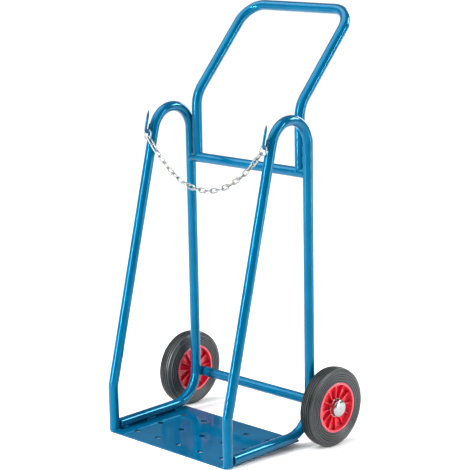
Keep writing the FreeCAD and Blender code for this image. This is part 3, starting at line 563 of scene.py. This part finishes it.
def plate_tree():
    """Flat sheet with a grid of round holes, before it gets its thickness."""
    tree, given = tree_with(
        "drilled_sheet", Width="Float", Depth="Float", Corner="Float", Hole="Float", Across="Int", Rows="Int",
        Pitch_across="Float", Pitch_along="Float", Grid_shift="Float", Finish="Material",
    )
    edge = step(
        tree, "GeometryNodeCurvePrimitiveQuadrilateral", {"Width": given["Width"], "Height": given["Depth"]}
    )
    edge = step(
        tree, "GeometryNodeFilletCurve", {"Curve": edge, "Count": 8, "Radius": given["Corner"]}, mode="POLY"
    )
    gaps_across = calculate(tree, "SUBTRACT", given["Across"], 1.0)
    gaps_along = calculate(tree, "SUBTRACT", given["Rows"], 1.0)
    wide = calculate(tree, "MULTIPLY", given["Pitch across"], gaps_across)
    deep = calculate(tree, "MULTIPLY", given["Pitch along"], gaps_along)
    grid = step(
        tree, "GeometryNodeMeshGrid",
        {"Size X": wide, "Size Y": deep, "Vertices X": given["Across"], "Vertices Y": given["Rows"]},
    )
    hole = step(
        tree, "GeometryNodeCurvePrimitiveCircle",
        {"Resolution": 48, "Radius": calculate(tree, "DIVIDE", given["Hole"], 2.0)},
    )
    holes = step(tree, "GeometryNodeInstanceOnPoints", {"Points": grid, "Instance": hole})
    holes = step(tree, "GeometryNodeRealizeInstances", {"Geometry": holes})
    shift = step(tree, "ShaderNodeCombineXYZ", {"Y": given["Grid shift"]})
    holes = step(tree, "GeometryNodeTransform", {"Geometry": holes, "Translation": shift})
    both = step(tree, "GeometryNodeJoinGeometry")
    tree.links.new(edge.outputs[0], both.inputs[0])
    tree.links.new(holes.outputs[0], both.inputs[0])
    sheet = step(tree, "GeometryNodeFillCurve", {"Curve": both}, mode="TRIANGLES")
    return end_tree(tree, sheet, given["Finish"])


TUBE_TREE = bent_tube_tree()
BEAD_TREE = weld_bead_tree()
CHAIN_TREE = chain_tree()
RIB_TREE = rib_tree()
PLATE_TREE = plate_tree()


# ---------------------------------------------------------------- frame tubes
TUBE_SIDES = 64
BEND_STEPS = 28
RAIL_END_GAP = 0.6 * MM
END_SINK = 0.5
DISC_ROOM = 2 * MM


def tube(name, corners, radius, node_name, sides=TUBE_SIDES, steps=BEND_STEPS):
    """One bent tube on the cart's frame; each corner is a place, a bend radius and a girth."""
    mesh = grow(
        TUBE_TREE, runs_mesh(name, [corners]), Radius=radius, Sides=sides, Bend_steps=steps, Finish=tube_paint
    )
    put(name, mesh, tube_paint, "cart", [node_name], crease=50)


for side, sign in SIDES:
    x = sign * TRACK
    tube(
        "bent_side_tube_" + side,
        [
            (Vector((x, LEG_Y, SHEET)), 0, 1),
            (Vector((x, LEG_Y, KNEE_Z)), KNEE_BEND, 1),
            (Vector((x, 0, APEX_Z)), ARCH_BEND, 1),
            (Vector((x, 0, RAIL_Z)), RAIL_BEND, 1),
            (Vector((x, LEG_Y + TUBE_R + RAIL_END_GAP, RAIL_Z)), 0, 1),
        ],
        TUBE_R, "side_frame_" + side,
    )
handle_top_z = HANDLE_KNEE_Z + HANDLE_RISE
handle_foot_z = CROSSBAR_Z + TUBE_R * END_SINK
tube(
    "bent_handle_tube",
    [
        (Vector((-HANDLE_X, 0, handle_foot_z)), 0, 1),
        (Vector((-HANDLE_X, 0, HANDLE_KNEE_Z)), HANDLE_KNEE_BEND, 1),
        (Vector((-HANDLE_X, HANDLE_REACH, handle_top_z)), HANDLE_CORNER_BEND, 1),
        (Vector((HANDLE_X, HANDLE_REACH, handle_top_z)), HANDLE_CORNER_BEND, 1),
        (Vector((HANDLE_X, 0, HANDLE_KNEE_Z)), HANDLE_KNEE_BEND, 1),
        (Vector((HANDLE_X, 0, handle_foot_z)), 0, 1),
    ],
    TUBE_R, "handle_tube",
)
bar_half = TRACK - TUBE_R * END_SINK
tube(
    "cross_tube",
    [(Vector((-bar_half, 0, CROSSBAR_Z)), 0, 1), (Vector((bar_half, 0, CROSSBAR_Z)), 0, 1)],
    TUBE_R, "upper_crossbar",
)
wheel_x = abs(sum((Vector(corner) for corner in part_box("tyre_right")), Vector()).x) / 2
axle_tube_half = wheel_x - HUB_HALF - DISC_ROOM
tube(
    "cross_axle_tube",
    [(Vector((-axle_tube_half, AXLE_Y, AXLE_Z)), 0, 1), (Vector((axle_tube_half, AXLE_Y, AXLE_Z)), 0, 1)],
    TUBE_R, "axle_tube",
)

# ---------------------------------------------------------------- base plate
PLATE_EDGE = 0.5 * MM
MIDDLE_HOLES_Y = -224 * MM
FOLD = math.radians(60)
LEVEL = math.radians(1)
plate_mid_y = (PLATE_FRONT + PLATE_BACK) / 2
sheet_mesh = grow(
    PLATE_TREE, bare_mesh("sheet", [(0, 0, 0)], []), Width=2 * PLATE_HALF, Depth=PLATE_BACK - PLATE_FRONT,
    Corner=5 * MM, Hole=21 * MM, Across=5, Rows=3, Pitch_across=94 * MM, Pitch_along=102 * MM,
    Grid_shift=MIDDLE_HOLES_Y - plate_mid_y, Finish=plate_paint,
)


def thicken(mesh, thickness, edge):
    """Give a flat sheet its thickness upwards and soften its edges."""
    work = bmesh.new()
    work.from_mesh(mesh)
    bmesh.ops.dissolve_limit(work, angle_limit=LEVEL, verts=work.verts, edges=work.edges)
    for face in work.faces:
        if face.normal.z > 0:
            face.normal_flip()
    raised = bmesh.ops.extrude_face_region(work, geom=work.faces[:])
    lifted = [item for item in raised["geom"] if isinstance(item, bmesh.types.BMVert)]
    bmesh.ops.translate(work, vec=(0, 0, thickness), verts=lifted)
    bmesh.ops.recalc_face_normals(work, faces=work.faces)
    shared = [line for line in work.edges if len(line.link_faces) == 2]
    rims = [line for line in shared if line.calc_face_angle() > FOLD]
    bmesh.ops.bevel(work, geom=rims, offset=edge, segments=2, affect="EDGES", profile=0.5)
    work.to_mesh(mesh)
    work.free()
    return mesh


plate_mesh = thicken(sheet_mesh, SHEET, PLATE_EDGE)
plate_mesh.transform(Matrix.Translation((0, plate_mid_y, 0)))
put("drilled_plate", plate_mesh, plate_paint, "cart", ["base_plate"], crease=20)


# ---------------------------------------------------------------- turned pieces
CORNER_SHARE = 0.45


def soften(outline, radius, steps=3):
    """Round the corners of a closed outline by about one radius, or less where a side is short."""
    rounded = []
    count = len(outline)
    for index, corner in enumerate(outline):
        here = Vector(corner)
        before = Vector(outline[index - 1]) - here
        after = Vector(outline[(index + 1) % count]) - here
        start = here + before.normalized() * min(radius, before.length * CORNER_SHARE)
        end = here + after.normalized() * min(radius, after.length * CORNER_SHARE)
        for part in range(steps + 1):
            share = part / steps
            low = start.lerp(here, share)
            high = here.lerp(end, share)
            rounded.append(low.lerp(high, share))
    return rounded


def turned(outline, steps, hollow_at=None):
    """Turn a closed outline of (across, reach) points about the X axis.

    Each point keeps its reach, and how deep it lies in a groove, as named values.
    """
    points, faces, reaches, hollows = [], [], [], []
    count = len(outline)
    for turn_step in range(steps):
        angle = 2 * math.pi * turn_step / steps
        for across, reach in outline:
            points.append((across, reach * math.sin(angle), reach * math.cos(angle)))
            reaches.append(float(reach))
            hollows.append(hollow_at(across, reach) if hollow_at else 0.0)
    for turn_step in range(steps):
        first = turn_step * count
        second = (turn_step + 1) % steps * count
        for index in range(count):
            following = (index + 1) % count
            faces.append((first + index, first + following, second + following, second + index))
    mesh = bpy.data.meshes.new("turned")
    mesh.from_pydata(points, [], faces)
    for label, numbers in (("reach", reaches), ("hollow", hollows)):
        mesh.attributes.new(label, "FLOAT", "POINT").data.foreach_set("value", numbers)
    return outward(mesh)


def on_wheel(mesh, sign):
    """Carry a piece drawn round the X axis to its wheel, its outer face away from the cart."""
    facing = Matrix.Identity(4) if sign > 0 else Matrix.Rotation(math.pi, 4, "Z")
    mesh.transform(Matrix.Translation((sign * wheel_x, AXLE_Y, AXLE_Z)) @ facing)
    return mesh


TREAD_GROOVES = 5
TREAD_DEPTH = 3.0 * MM
CROWN_DROP = 4 * MM
SHOULDER_DROP = 11 * MM
TREAD_SHARE = 0.8
TREAD_EDGE = 0.5 * MM
SIDE_STEPS = 5
SIDE_DEPTH = 2.2 * MM
SIDE_EDGE = 1 * MM
STEP_RAMP = 0.2
STEP_FLAT = 0.8


def tyre_outline():
    """Half section of the tyre: grooved tread, round shoulders, stepped side walls."""
    tread_half = WHEEL_HALF * TREAD_SHARE
    strip = 2 * tread_half / (2 * TREAD_GROOVES + 1)
    flank = [(tread_half, WHEEL_R - CROWN_DROP), (WHEEL_HALF - SIDE_DEPTH, WHEEL_R - SHOULDER_DROP)]
    side_step = (WHEEL_R - SHOULDER_DROP - RIM_R) / (2 * SIDE_STEPS)
    for ridge in range(SIDE_STEPS):
        top = WHEEL_R - SHOULDER_DROP - (2 * ridge + 1) * side_step
        flank.append((WHEEL_HALF - SIDE_DEPTH, top + STEP_RAMP * side_step))
        flank.append((WHEEL_HALF, top))
        flank.append((WHEEL_HALF, top - STEP_FLAT * side_step))
    flank[-1] = (WHEEL_HALF, RIM_R)
    tread = []
    for groove in range(TREAD_GROOVES):
        left = -tread_half + (2 * groove + 1) * strip
        for across, depth in ((left, 0), (left, 1), (left + strip, 1), (left + strip, 0)):
            surface = WHEEL_R - CROWN_DROP * (across / tread_half) ** 2
            tread.append((across, surface - depth * TREAD_DEPTH))
    return [(-across, up) for across, up in reversed(flank)] + tread + flank


def tyre_hollow(across, reach):
    """How deep a point of the tyre lies in a groove, from 0 on a ridge to 1 at the bottom; it sets the
    painted groove shade.
    """
    tread_half = WHEEL_HALF * TREAD_SHARE
    if abs(across) < tread_half - TREAD_EDGE:
        surface = WHEEL_R - CROWN_DROP * (across / tread_half) ** 2
        depth = (surface - reach) / TREAD_DEPTH
    elif reach < WHEEL_R - SHOULDER_DROP - SIDE_EDGE:
        depth = (WHEEL_HALF - abs(across)) / SIDE_DEPTH
    else:
        depth = 0.0
    return min(max(depth, 0.0), 1.0)


BARREL_R = RIM_R - 5 * MM
WEB_HALF = 9 * MM
LIP_X = WHEEL_HALF + 1.5 * MM
BUSH_R = 15 * MM
BOSS_END = HUB_HALF - 7 * MM
DRAFT = 2 * MM
SEAT_DRAFT = 3 * MM
LIP_ROUND = 1.5 * MM
half_rim = [
    (HUB_HALF, BUSH_R), (HUB_HALF, HUB_R), (BOSS_END, HUB_R), (WEB_HALF, HUB_R + DRAFT),
    (WEB_HALF, BARREL_R - DRAFT), (WHEEL_HALF - SEAT_DRAFT, BARREL_R), (LIP_X, BARREL_R - DRAFT),
    (LIP_X, RIM_R - LIP_ROUND), (WHEEL_HALF, RIM_R),
]
rim_outline = half_rim + [(-across, up) for across, up in reversed(half_rim)]
CAP_IN = HUB_R + 0.02 * MM
CAP_SKIN = 1.2 * MM
CAP_DEPTH = 12.5 * MM
CAP_FLANGE = 1.8 * MM
CAP_FOOT = HUB_HALF - 6 * MM
FLANGE_THICK = 1.0 * MM
FLANGE_ROOT = (1.3 * MM, 0.5 * MM)
FLANGE_BEND = 2.2 * MM
DOME_START = 0.45
DOME_STEPS = 18
DOME_FULLNESS = (0.9, 0.7)


def cap_outline():
    """Outer and inner skin of the domed hub cap, from its flange over the dome and back inside."""
    cap_out = CAP_IN + CAP_SKIN
    dome_start = HUB_HALF + CAP_DEPTH * DOME_START
    dome_high = HUB_HALF + CAP_DEPTH + CAP_SKIN - dome_start
    outside = [(CAP_FOOT, cap_out + CAP_FLANGE), (CAP_FOOT + FLANGE_THICK, cap_out + CAP_FLANGE)]
    outside.append((CAP_FOOT + FLANGE_ROOT[0], cap_out + FLANGE_ROOT[1]))
    outside.append((CAP_FOOT + FLANGE_BEND, cap_out))
    for part in range(DOME_STEPS + 1):
        angle = math.pi / 2 * part / DOME_STEPS
        across = dome_start + dome_high * math.sin(angle) ** DOME_FULLNESS[0]
        outside.append((across, cap_out * math.cos(angle) ** DOME_FULLNESS[1]))
    inside = [(across - CAP_SKIN, max(up - CAP_SKIN, 0.0)) for across, up in reversed(outside[4:])]
    inside = [(across, up) for across, up in inside if across > dome_start]
    tips = [(outside[-1][0], 0.0), (inside[0][0], 0.0)]
    return outside[:-1] + tips + inside[1:] + [(CAP_FOOT, CAP_IN)]


RIB_ROOT = 1 * MM
RIB_DROP = 5 * MM
rib_profile = [
    (WEB_HALF - RIB_ROOT, HUB_R - RIB_ROOT), (BOSS_END, HUB_R - RIB_ROOT),
    (WHEEL_HALF - RIB_DROP, BARREL_R + RIB_ROOT), (WEB_HALF - RIB_ROOT, BARREL_R + RIB_ROOT),
]
RIB_FOOT = 1.5 * MM
RIB_TOP = 0.9 * MM
RIB_EDGE = 0.5 * MM
RIB_SIDE = 10 * MM
RIB_CREST = 15 * MM


def rib_pair():
    """One rib on each face of the rim's web, thinner at its crest, with rounded crest edges."""
    work = bmesh.new()
    for face_way in (-1, 1):
        rings = []
        for way in (-1, 1):
            ring = []
            for index, (across, up) in enumerate(rib_profile):
                thick = RIB_TOP if index in (1, 2) else RIB_FOOT
                ring.append(work.verts.new((face_way * across, way * thick, up)))
            rings.append(ring)
        work.faces.new(rings[0])
        work.faces.new(list(reversed(rings[1])))
        for index in range(4):
            following = (index + 1) % 4
            work.faces.new((rings[0][index], rings[1][index], rings[1][following], rings[0][following]))
    bmesh.ops.recalc_face_normals(work, faces=work.faces)
    tops = [line for line in work.edges if min(abs(vert.co.x) for vert in line.verts) > RIB_SIDE]
    bmesh.ops.bevel(work, geom=tops, offset=RIB_EDGE, segments=2, affect="EDGES", profile=0.5)
    mesh = bpy.data.meshes.new("rib_pair")
    work.to_mesh(mesh)
    work.free()
    # A crest gets the lip's reach, so the plastic's finish paints it the lip's paler red, a painted highlight
    # on its rounded edge.
    crest_highlight = [RIM_R if abs(point.co.x) > RIB_CREST else 0.0 for point in mesh.vertices]
    mesh.attributes.new("reach", "FLOAT", "POINT").data.foreach_set("value", crest_highlight)
    return mesh


def flat_ring(half_thick, inner, outer, edge):
    """Outline of a flat ring with soft edges."""
    corners = [(-half_thick, inner), (half_thick, inner), (half_thick, outer), (-half_thick, outer)]
    return soften(corners, edge)


WHEEL_STEPS = 144
CAP_STEPS = 96
DISC_STEPS = 72
TYRE_ROUND = 0.5 * MM
RIM_ROUND = 1.0 * MM
DISC_ROUND = 0.4 * MM
RIBS = 12
DISC_HALF = 0.8 * MM
AXLE_HOLE_R = 10.3 * MM
DISC_R = 25 * MM
for side, sign in SIDES:
    wheel = "wheel_" + side
    rim_node = ["wheel_rim_" + side]
    tyre = on_wheel(turned(soften(tyre_outline(), TYRE_ROUND), WHEEL_STEPS, tyre_hollow), sign)
    put("tyre_body_" + side, tyre, rubber, wheel, ["tyre_" + side], crease=60)
    rim = on_wheel(turned(soften(rim_outline, RIM_ROUND), WHEEL_STEPS), sign)
    put("rim_dish_" + side, rim, red_plastic, wheel, rim_node, crease=60)
    ribs = on_wheel(grow(RIB_TREE, rib_pair(), Count=RIBS, Finish=red_plastic), sign)
    put("rim_ribs_" + side, ribs, red_plastic, wheel, rim_node, crease=50)
    cap = on_wheel(turned(cap_outline(), CAP_STEPS), sign)
    put("domed_cap_" + side, cap, chrome, wheel, ["hub_cap_" + side], crease=40)
    disc = turned(flat_ring(DISC_HALF, AXLE_HOLE_R, DISC_R, DISC_ROUND), DISC_STEPS)
    disc.transform(Matrix.Translation((sign * (axle_tube_half + DISC_HALF), AXLE_Y, AXLE_Z)))
    put("plated_disc_" + side, disc, zinc, "cart", ["inner_disc_" + side], crease=40)

# ---------------------------------------------------------------- chain hooks
TIP = 16 * MM
HOOK_SINK = 0.3 * MM
HOOK_BELOW = 10 * MM
HOOK_SHORT = 20 * MM
BEND_SHARE = 0.998
TIP_GIRTHS = ((1.0, 1.0), (0.4, 0.62), (0.08, 0.32), (0.0, 0.14))
HOOK_IN = TUBE_R + HOOK_R - HOOK_SINK
HOOK_OUT = HOOK_IN + 2 * HOOK_BEND
bend_centre = LEG_TOP - ALONG_LEG * HOOK_BELOW
SPIKE = 61 * MM


def on_hook(outward_by, upward_by):
    """A point in the hook's plane from its distance off the leg's axis and up from the bend."""
    return bend_centre + OUT_OF_LEG * outward_by + ALONG_LEG * upward_by


for side, sign in SIDES:
    shift = Vector((sign * TRACK, 0, 0))
    tube(
        "pointed_hook_" + side,
        [
            (shift + on_hook(HOOK_IN, HOOK_SHORT), 0, 1),
            (shift + on_hook(HOOK_IN, -HOOK_BEND), HOOK_BEND * BEND_SHARE, 1),
            (shift + on_hook(HOOK_OUT, -HOOK_BEND), HOOK_BEND * BEND_SHARE, 1),
            *((shift + on_hook(HOOK_OUT, SPIKE - TIP * below), 0, girth) for below, girth in TIP_GIRTHS),
        ],
        HOOK_R, "chain_hook_" + side, sides=28, steps=14,
    )

# ---------------------------------------------------------------- chain
RING_R = 12 * MM
PULL = math.radians(52.0)
SEAT_ROOM = 0.25 * MM
RING_PLAY = 0.8 * MM
seat = on_hook((HOOK_IN + HOOK_OUT) / 2, -HOOK_BEND)
ring_places, ring_turns, chain_ends = [], [], {}
for side, sign in SIDES:
    pull_way = X_WAY * (-sign * math.cos(PULL)) - ALONG_LEG * math.sin(PULL)
    centre = X_WAY * (sign * TRACK) + seat + pull_way * (RING_R - HOOK_R - SEAT_ROOM)
    chain_ends[side] = centre + pull_way * (RING_R - RING_PLAY)
    ring_places.append(centre)
    ring_axes = Matrix((pull_way, OUT_OF_LEG.cross(pull_way), OUT_OF_LEG))
    ring_turns.append(tuple(ring_axes.transposed().to_euler()))
rings = grow(
    CHAIN_TREE, bare_mesh("ring_places", ring_places, [], turn=ring_turns), Inside_length=2 * RING_R,
    Inside_width=2 * RING_R, Wire_radius=WIRE_R, Weld_swell=0.0, Sides=20, Finish=zinc,
)
put("hanging_rings", rings, zinc, "chain_rings", ["chain_ring_left", "chain_ring_right"], crease=60)

# The links hang on the curve of a loaded chain: each slope follows from the weight of the links below it,
# and the level pull is found by halving until the row spans the gap.
LINK_INSIDE = 8.4 * MM
WELD_SWELL = 0.05
HALVINGS = 60
gap = chain_ends["right"].x - chain_ends["left"].x
step_length = LINK_PITCH - LINK_ROOM
middle_link = (LINKS - 1) / 2
low_pull, high_pull = 0.01, 1000.0
for _ in range(HALVINGS):
    level_pull = (low_pull + high_pull) / 2
    slopes = [math.atan2(index - middle_link, level_pull) for index in range(LINKS)]
    spread = sum(step_length * math.cos(slope) for slope in slopes)
    if spread < gap:
        low_pull = level_pull
    else:
        high_pull = level_pull
down = Vector((0, -math.sin(REST_LEAN), -math.cos(REST_LEAN)))
link_places, link_turns = [], []
here = chain_ends["left"].copy()
across_plane = X_WAY.cross(down)
for index, slope in enumerate(slopes):
    forward = X_WAY * math.cos(slope) - down * math.sin(slope)
    normal = across_plane if index % 2 else forward.cross(across_plane)
    link_places.append(here + forward * (step_length / 2))
    link_axes = Matrix((forward, normal.cross(forward), normal))
    link_turns.append(tuple(link_axes.transposed().to_euler()))
    here = here + forward * step_length
links = grow(
    CHAIN_TREE, bare_mesh("link_places", link_places, [], turn=link_turns), Inside_length=LINK_PITCH,
    Inside_width=LINK_INSIDE, Wire_radius=WIRE_R, Weld_swell=WELD_SWELL, Sides=12, Finish=zinc,
)
put("welded_links", links, zinc, "chain", ["chain_links"], crease=60)

# ---------------------------------------------------------------- weld beads
# Lengths and places follow the CAD's beads to within 3 mm. The ends of a curved bead are in degrees.
BEAD = 2.4 * MM
STITCH = 3.2 * MM
SMALL_BEAD = 1.7 * MM
HANDLE_BEAD = SMALL_BEAD * 1.2
RIPPLE = 2.2 * MM
UNEVEN = 0.5 * MM
STITCH_IN = 11.5 * MM
STITCH_UP = 2.2 * MM
EDGE_OUT = 1.2 * MM
EDGE_DOWN = 0.6 * MM
FOOT_STAND = 0.4 * MM
FOOT_UP = 0.8 * MM
BUTT_BACK = 1.6 * MM
SADDLE_END = 86
FOOT_END = 90
BUTT_ENDS = (-85, 268)
BUTT_PARTS = 80
SEAM_LOW = 14 * MM
SEAM_HIGH = 30 * MM
SEAM_SPREAD = 5.5 * MM
SEAM_LENGTH = 22 * MM
AXLE_STAND = 0.6 * MM
AXLE_SPREAD = 10.5 * MM
AXLE_BEAD_HALF = 7 * MM
HOOK_SPREAD = 3.6 * MM
HOOK_STAND = 0.2 * MM
HOOK_BEAD_ENDS = (-2 * MM, 16 * MM)
INNER_STITCHES = ((-341.1, -317.2), (-238.0, -198.9), (-114.0, -78.8))
OUTER_STITCHES = ((-339.0, -322.0), (-239.1, -207.9))


def straight(start, end):
    """One straight bead line."""
    return [(start, 0, 1), (end, 0, 1)]


def curved(centre, long_way, cross_way, start, end, parts=40):
    """A bead line along part of a circle or ellipse, given its two half axes and its span in degrees."""
    line = []
    for part in range(parts + 1):
        angle = math.radians(start + (end - start) * part / parts)
        line.append((centre + long_way * math.cos(angle) + cross_way * math.sin(angle), 0, 1))
    return line


def beads(name, lines, radius, node_names, seed):
    """Weld beads along lines, in place of the plain ones."""
    mesh = grow(
        BEAD_TREE, runs_mesh(name, lines), Radius=radius, Ripple=RIPPLE, Unevenness=UNEVEN, Seed=seed,
        Finish=weld_paint,
    )
    put(name, mesh, weld_paint, "cart", node_names, crease=60)


for side, sign in SIDES:
    stitches = []
    for start, end in INNER_STITCHES:
        x = sign * (TRACK - STITCH_IN)
        z = SHEET + STITCH_UP
        stitches.append(straight(Vector((x, start * MM, z)), Vector((x, end * MM, z))))
    for start, end in OUTER_STITCHES:
        x = sign * (PLATE_HALF + EDGE_OUT)
        z = SHEET - EDGE_DOWN
        stitches.append(straight(Vector((x, start * MM, z)), Vector((x, end * MM, z))))
    beads("rail_stitches_" + side, stitches, STITCH, ["rail_welds_" + side], 1 + sign)
    ring_reach = TUBE_R + FOOT_STAND
    foot = Vector((sign * TRACK, LEG_Y, SHEET + FOOT_UP))
    butt = Vector((sign * TRACK, LEG_Y + TUBE_R + BUTT_BACK, RAIL_Z))
    turn_way = X_WAY * (-sign * ring_reach)
    beads(
        "foot_beads_" + side,
        [
            curved(foot, turn_way, Vector((0, ring_reach, 0)), -FOOT_END, FOOT_END),
            curved(butt, X_WAY * ring_reach, Z_WAY * ring_reach, *BUTT_ENDS, BUTT_PARTS),
        ],
        BEAD, ["leg_welds_" + side], 4 + sign,
    )

crossbar_lines, handle_lines, axle_lines, hook_lines = [], [], [], []
for side, sign in SIDES:
    joint = Vector((sign * TRACK, 0, CROSSBAR_Z))
    inward = X_WAY * -sign
    for lift in (-1, 1):
        slant = (inward + Z_WAY * lift).normalized() * (TUBE_R * math.sqrt(2))
        crossbar_lines.append(curved(joint, slant, Vector((0, TUBE_R, 0)), -SADDLE_END, SADDLE_END))
    foot = Vector((sign * HANDLE_X, 0, CROSSBAR_Z))
    slant = (inward + Z_WAY).normalized() * (TUBE_R * math.sqrt(2))
    handle_lines.append(curved(foot, slant, Vector((0, TUBE_R, 0)), -SADDLE_END, SADDLE_END))
    for way in (-1, 1):
        for low_z in (CROSSBAR_Z + TUBE_R + SEAM_LOW, ARCH_Z - SEAM_HIGH):
            start = Vector((sign * (TRACK - TUBE_R), way * SEAM_SPREAD, low_z))
            handle_lines.append(straight(start, start + Z_WAY * SEAM_LENGTH))
        middle = Vector((sign * TRACK, TUBE_R + AXLE_STAND, AXLE_Z + way * AXLE_SPREAD))
        axle_lines.append(straight(middle - X_WAY * AXLE_BEAD_HALF, middle + X_WAY * AXLE_BEAD_HALF))
        aside = X_WAY * (sign * TRACK + way * HOOK_SPREAD)
        low, high = (aside + on_hook(TUBE_R + HOOK_STAND, height) for height in HOOK_BEAD_ENDS)
        hook_lines.append(straight(low, high))
beads("crossbar_beads", crossbar_lines, SMALL_BEAD, ["crossbar_welds"], 7)
beads("handle_beads", handle_lines, HANDLE_BEAD, ["handle_welds"], 8)
beads("axle_beads", axle_lines, BEAD, ["axle_welds"], 9)
beads("hook_beads", hook_lines, SMALL_BEAD, ["hook_welds"], 10)

# ---------------------------------------------------------------- carried-over parts
KEPT = {"axle_rod": axle_metal}
for side, sign in SIDES:
    KEPT["axle_plug_" + side] = bush_metal
    KEPT["wheel_bush_" + side] = bush_metal
    KEPT["outer_washer_" + side] = zinc
    KEPT["split_pin_" + side] = zinc
for node_name, material in KEPT.items():
    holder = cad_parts[node_name]
    if not holder.material_slots:
        holder.data.materials.append(material)
    for material_slot in holder.material_slots:
        material_slot.material = material

# ---------------------------------------------------------------- floor and light
floor_mesh = bpy.data.meshes.new("floor")
FLOOR_HALF = 90.0
floor_corners = ((-1, -1), (1, -1), (1, 1), (-1, 1))
floor_mesh.from_pydata([(x * FLOOR_HALF, y * FLOOR_HALF, 0) for x, y in floor_corners], [], [(0, 1, 2, 3)])
floor_finish, floor_tree, floor_shader = finish("matt_white_floor", Specular_IOR_Level=0.2)
mottle = ramp(floor_tree, grain(floor_tree, 0.5, 3), 0.3, 0.7)
floor_tree.links.new(blend(floor_tree, mottle, "#F4F4F4", "#F8F8F8"), floor_shader.inputs["Base Color"])
floor_shader.inputs["Roughness"].default_value = 0.8
floor_mesh.materials.append(floor_finish)
floor = bpy.data.objects.new("floor", floor_mesh)
bpy.context.scene.collection.objects.link(floor)


def softbox(name, place, aim, width, height, power):
    """A rectangular soft light that looks at a point."""
    data = bpy.data.lights.new(name, "AREA")
    data.shape = "RECTANGLE"
    data.size = width
    data.size_y = height
    data.energy = power
    lamp = bpy.data.objects.new(name, data)
    bpy.context.scene.collection.objects.link(lamp)
    lamp.location = place
    lamp.rotation_euler = (Vector(aim) - Vector(place)).to_track_quat("-Z", "Y").to_euler()
    lamp.visible_camera = False


# A tall strip in front draws the thin line of light down each leg, the rear key draws it along the rails,
# and the wide sun keeps the whole floor evenly white.
softbox("front_strip", place=(-0.7, -3.3, 1.5), aim=(0, 0, 0.7), width=0.16, height=3.0, power=175)
softbox("rear_panel", place=(-1.2, 6.0, 2.4), aim=(0, 0, 0.6), width=2.0, height=3.6, power=160)
softbox("rear_key", place=(2.15, 3.1, 3.0), aim=(-0.25, -0.1, 0), width=1.4, height=1.4, power=120)
softbox("right_panel", place=(3.4, 1.7, 1.3), aim=(0, 0, 0.6), width=0.3, height=2.6, power=60)
sky_data = bpy.data.lights.new("skylight", "SUN")
sky_data.energy = 3.3
sky_data.angle = math.radians(70)
sky = bpy.data.objects.new("skylight", sky_data)
bpy.context.scene.collection.objects.link(sky)
sky.rotation_euler = Vector((0.3, 0.5, -1)).to_track_quat("-Z", "Y").to_euler()
world = bpy.data.worlds.new("studio")
world.use_nodes = True
world.node_tree.nodes["Background"].inputs["Color"].default_value = colour("#FFFFFF")
world.node_tree.nodes["Background"].inputs["Strength"].default_value = 0.25
bpy.context.scene.world = world
bpy.context.scene.view_settings.view_transform = "Standard"
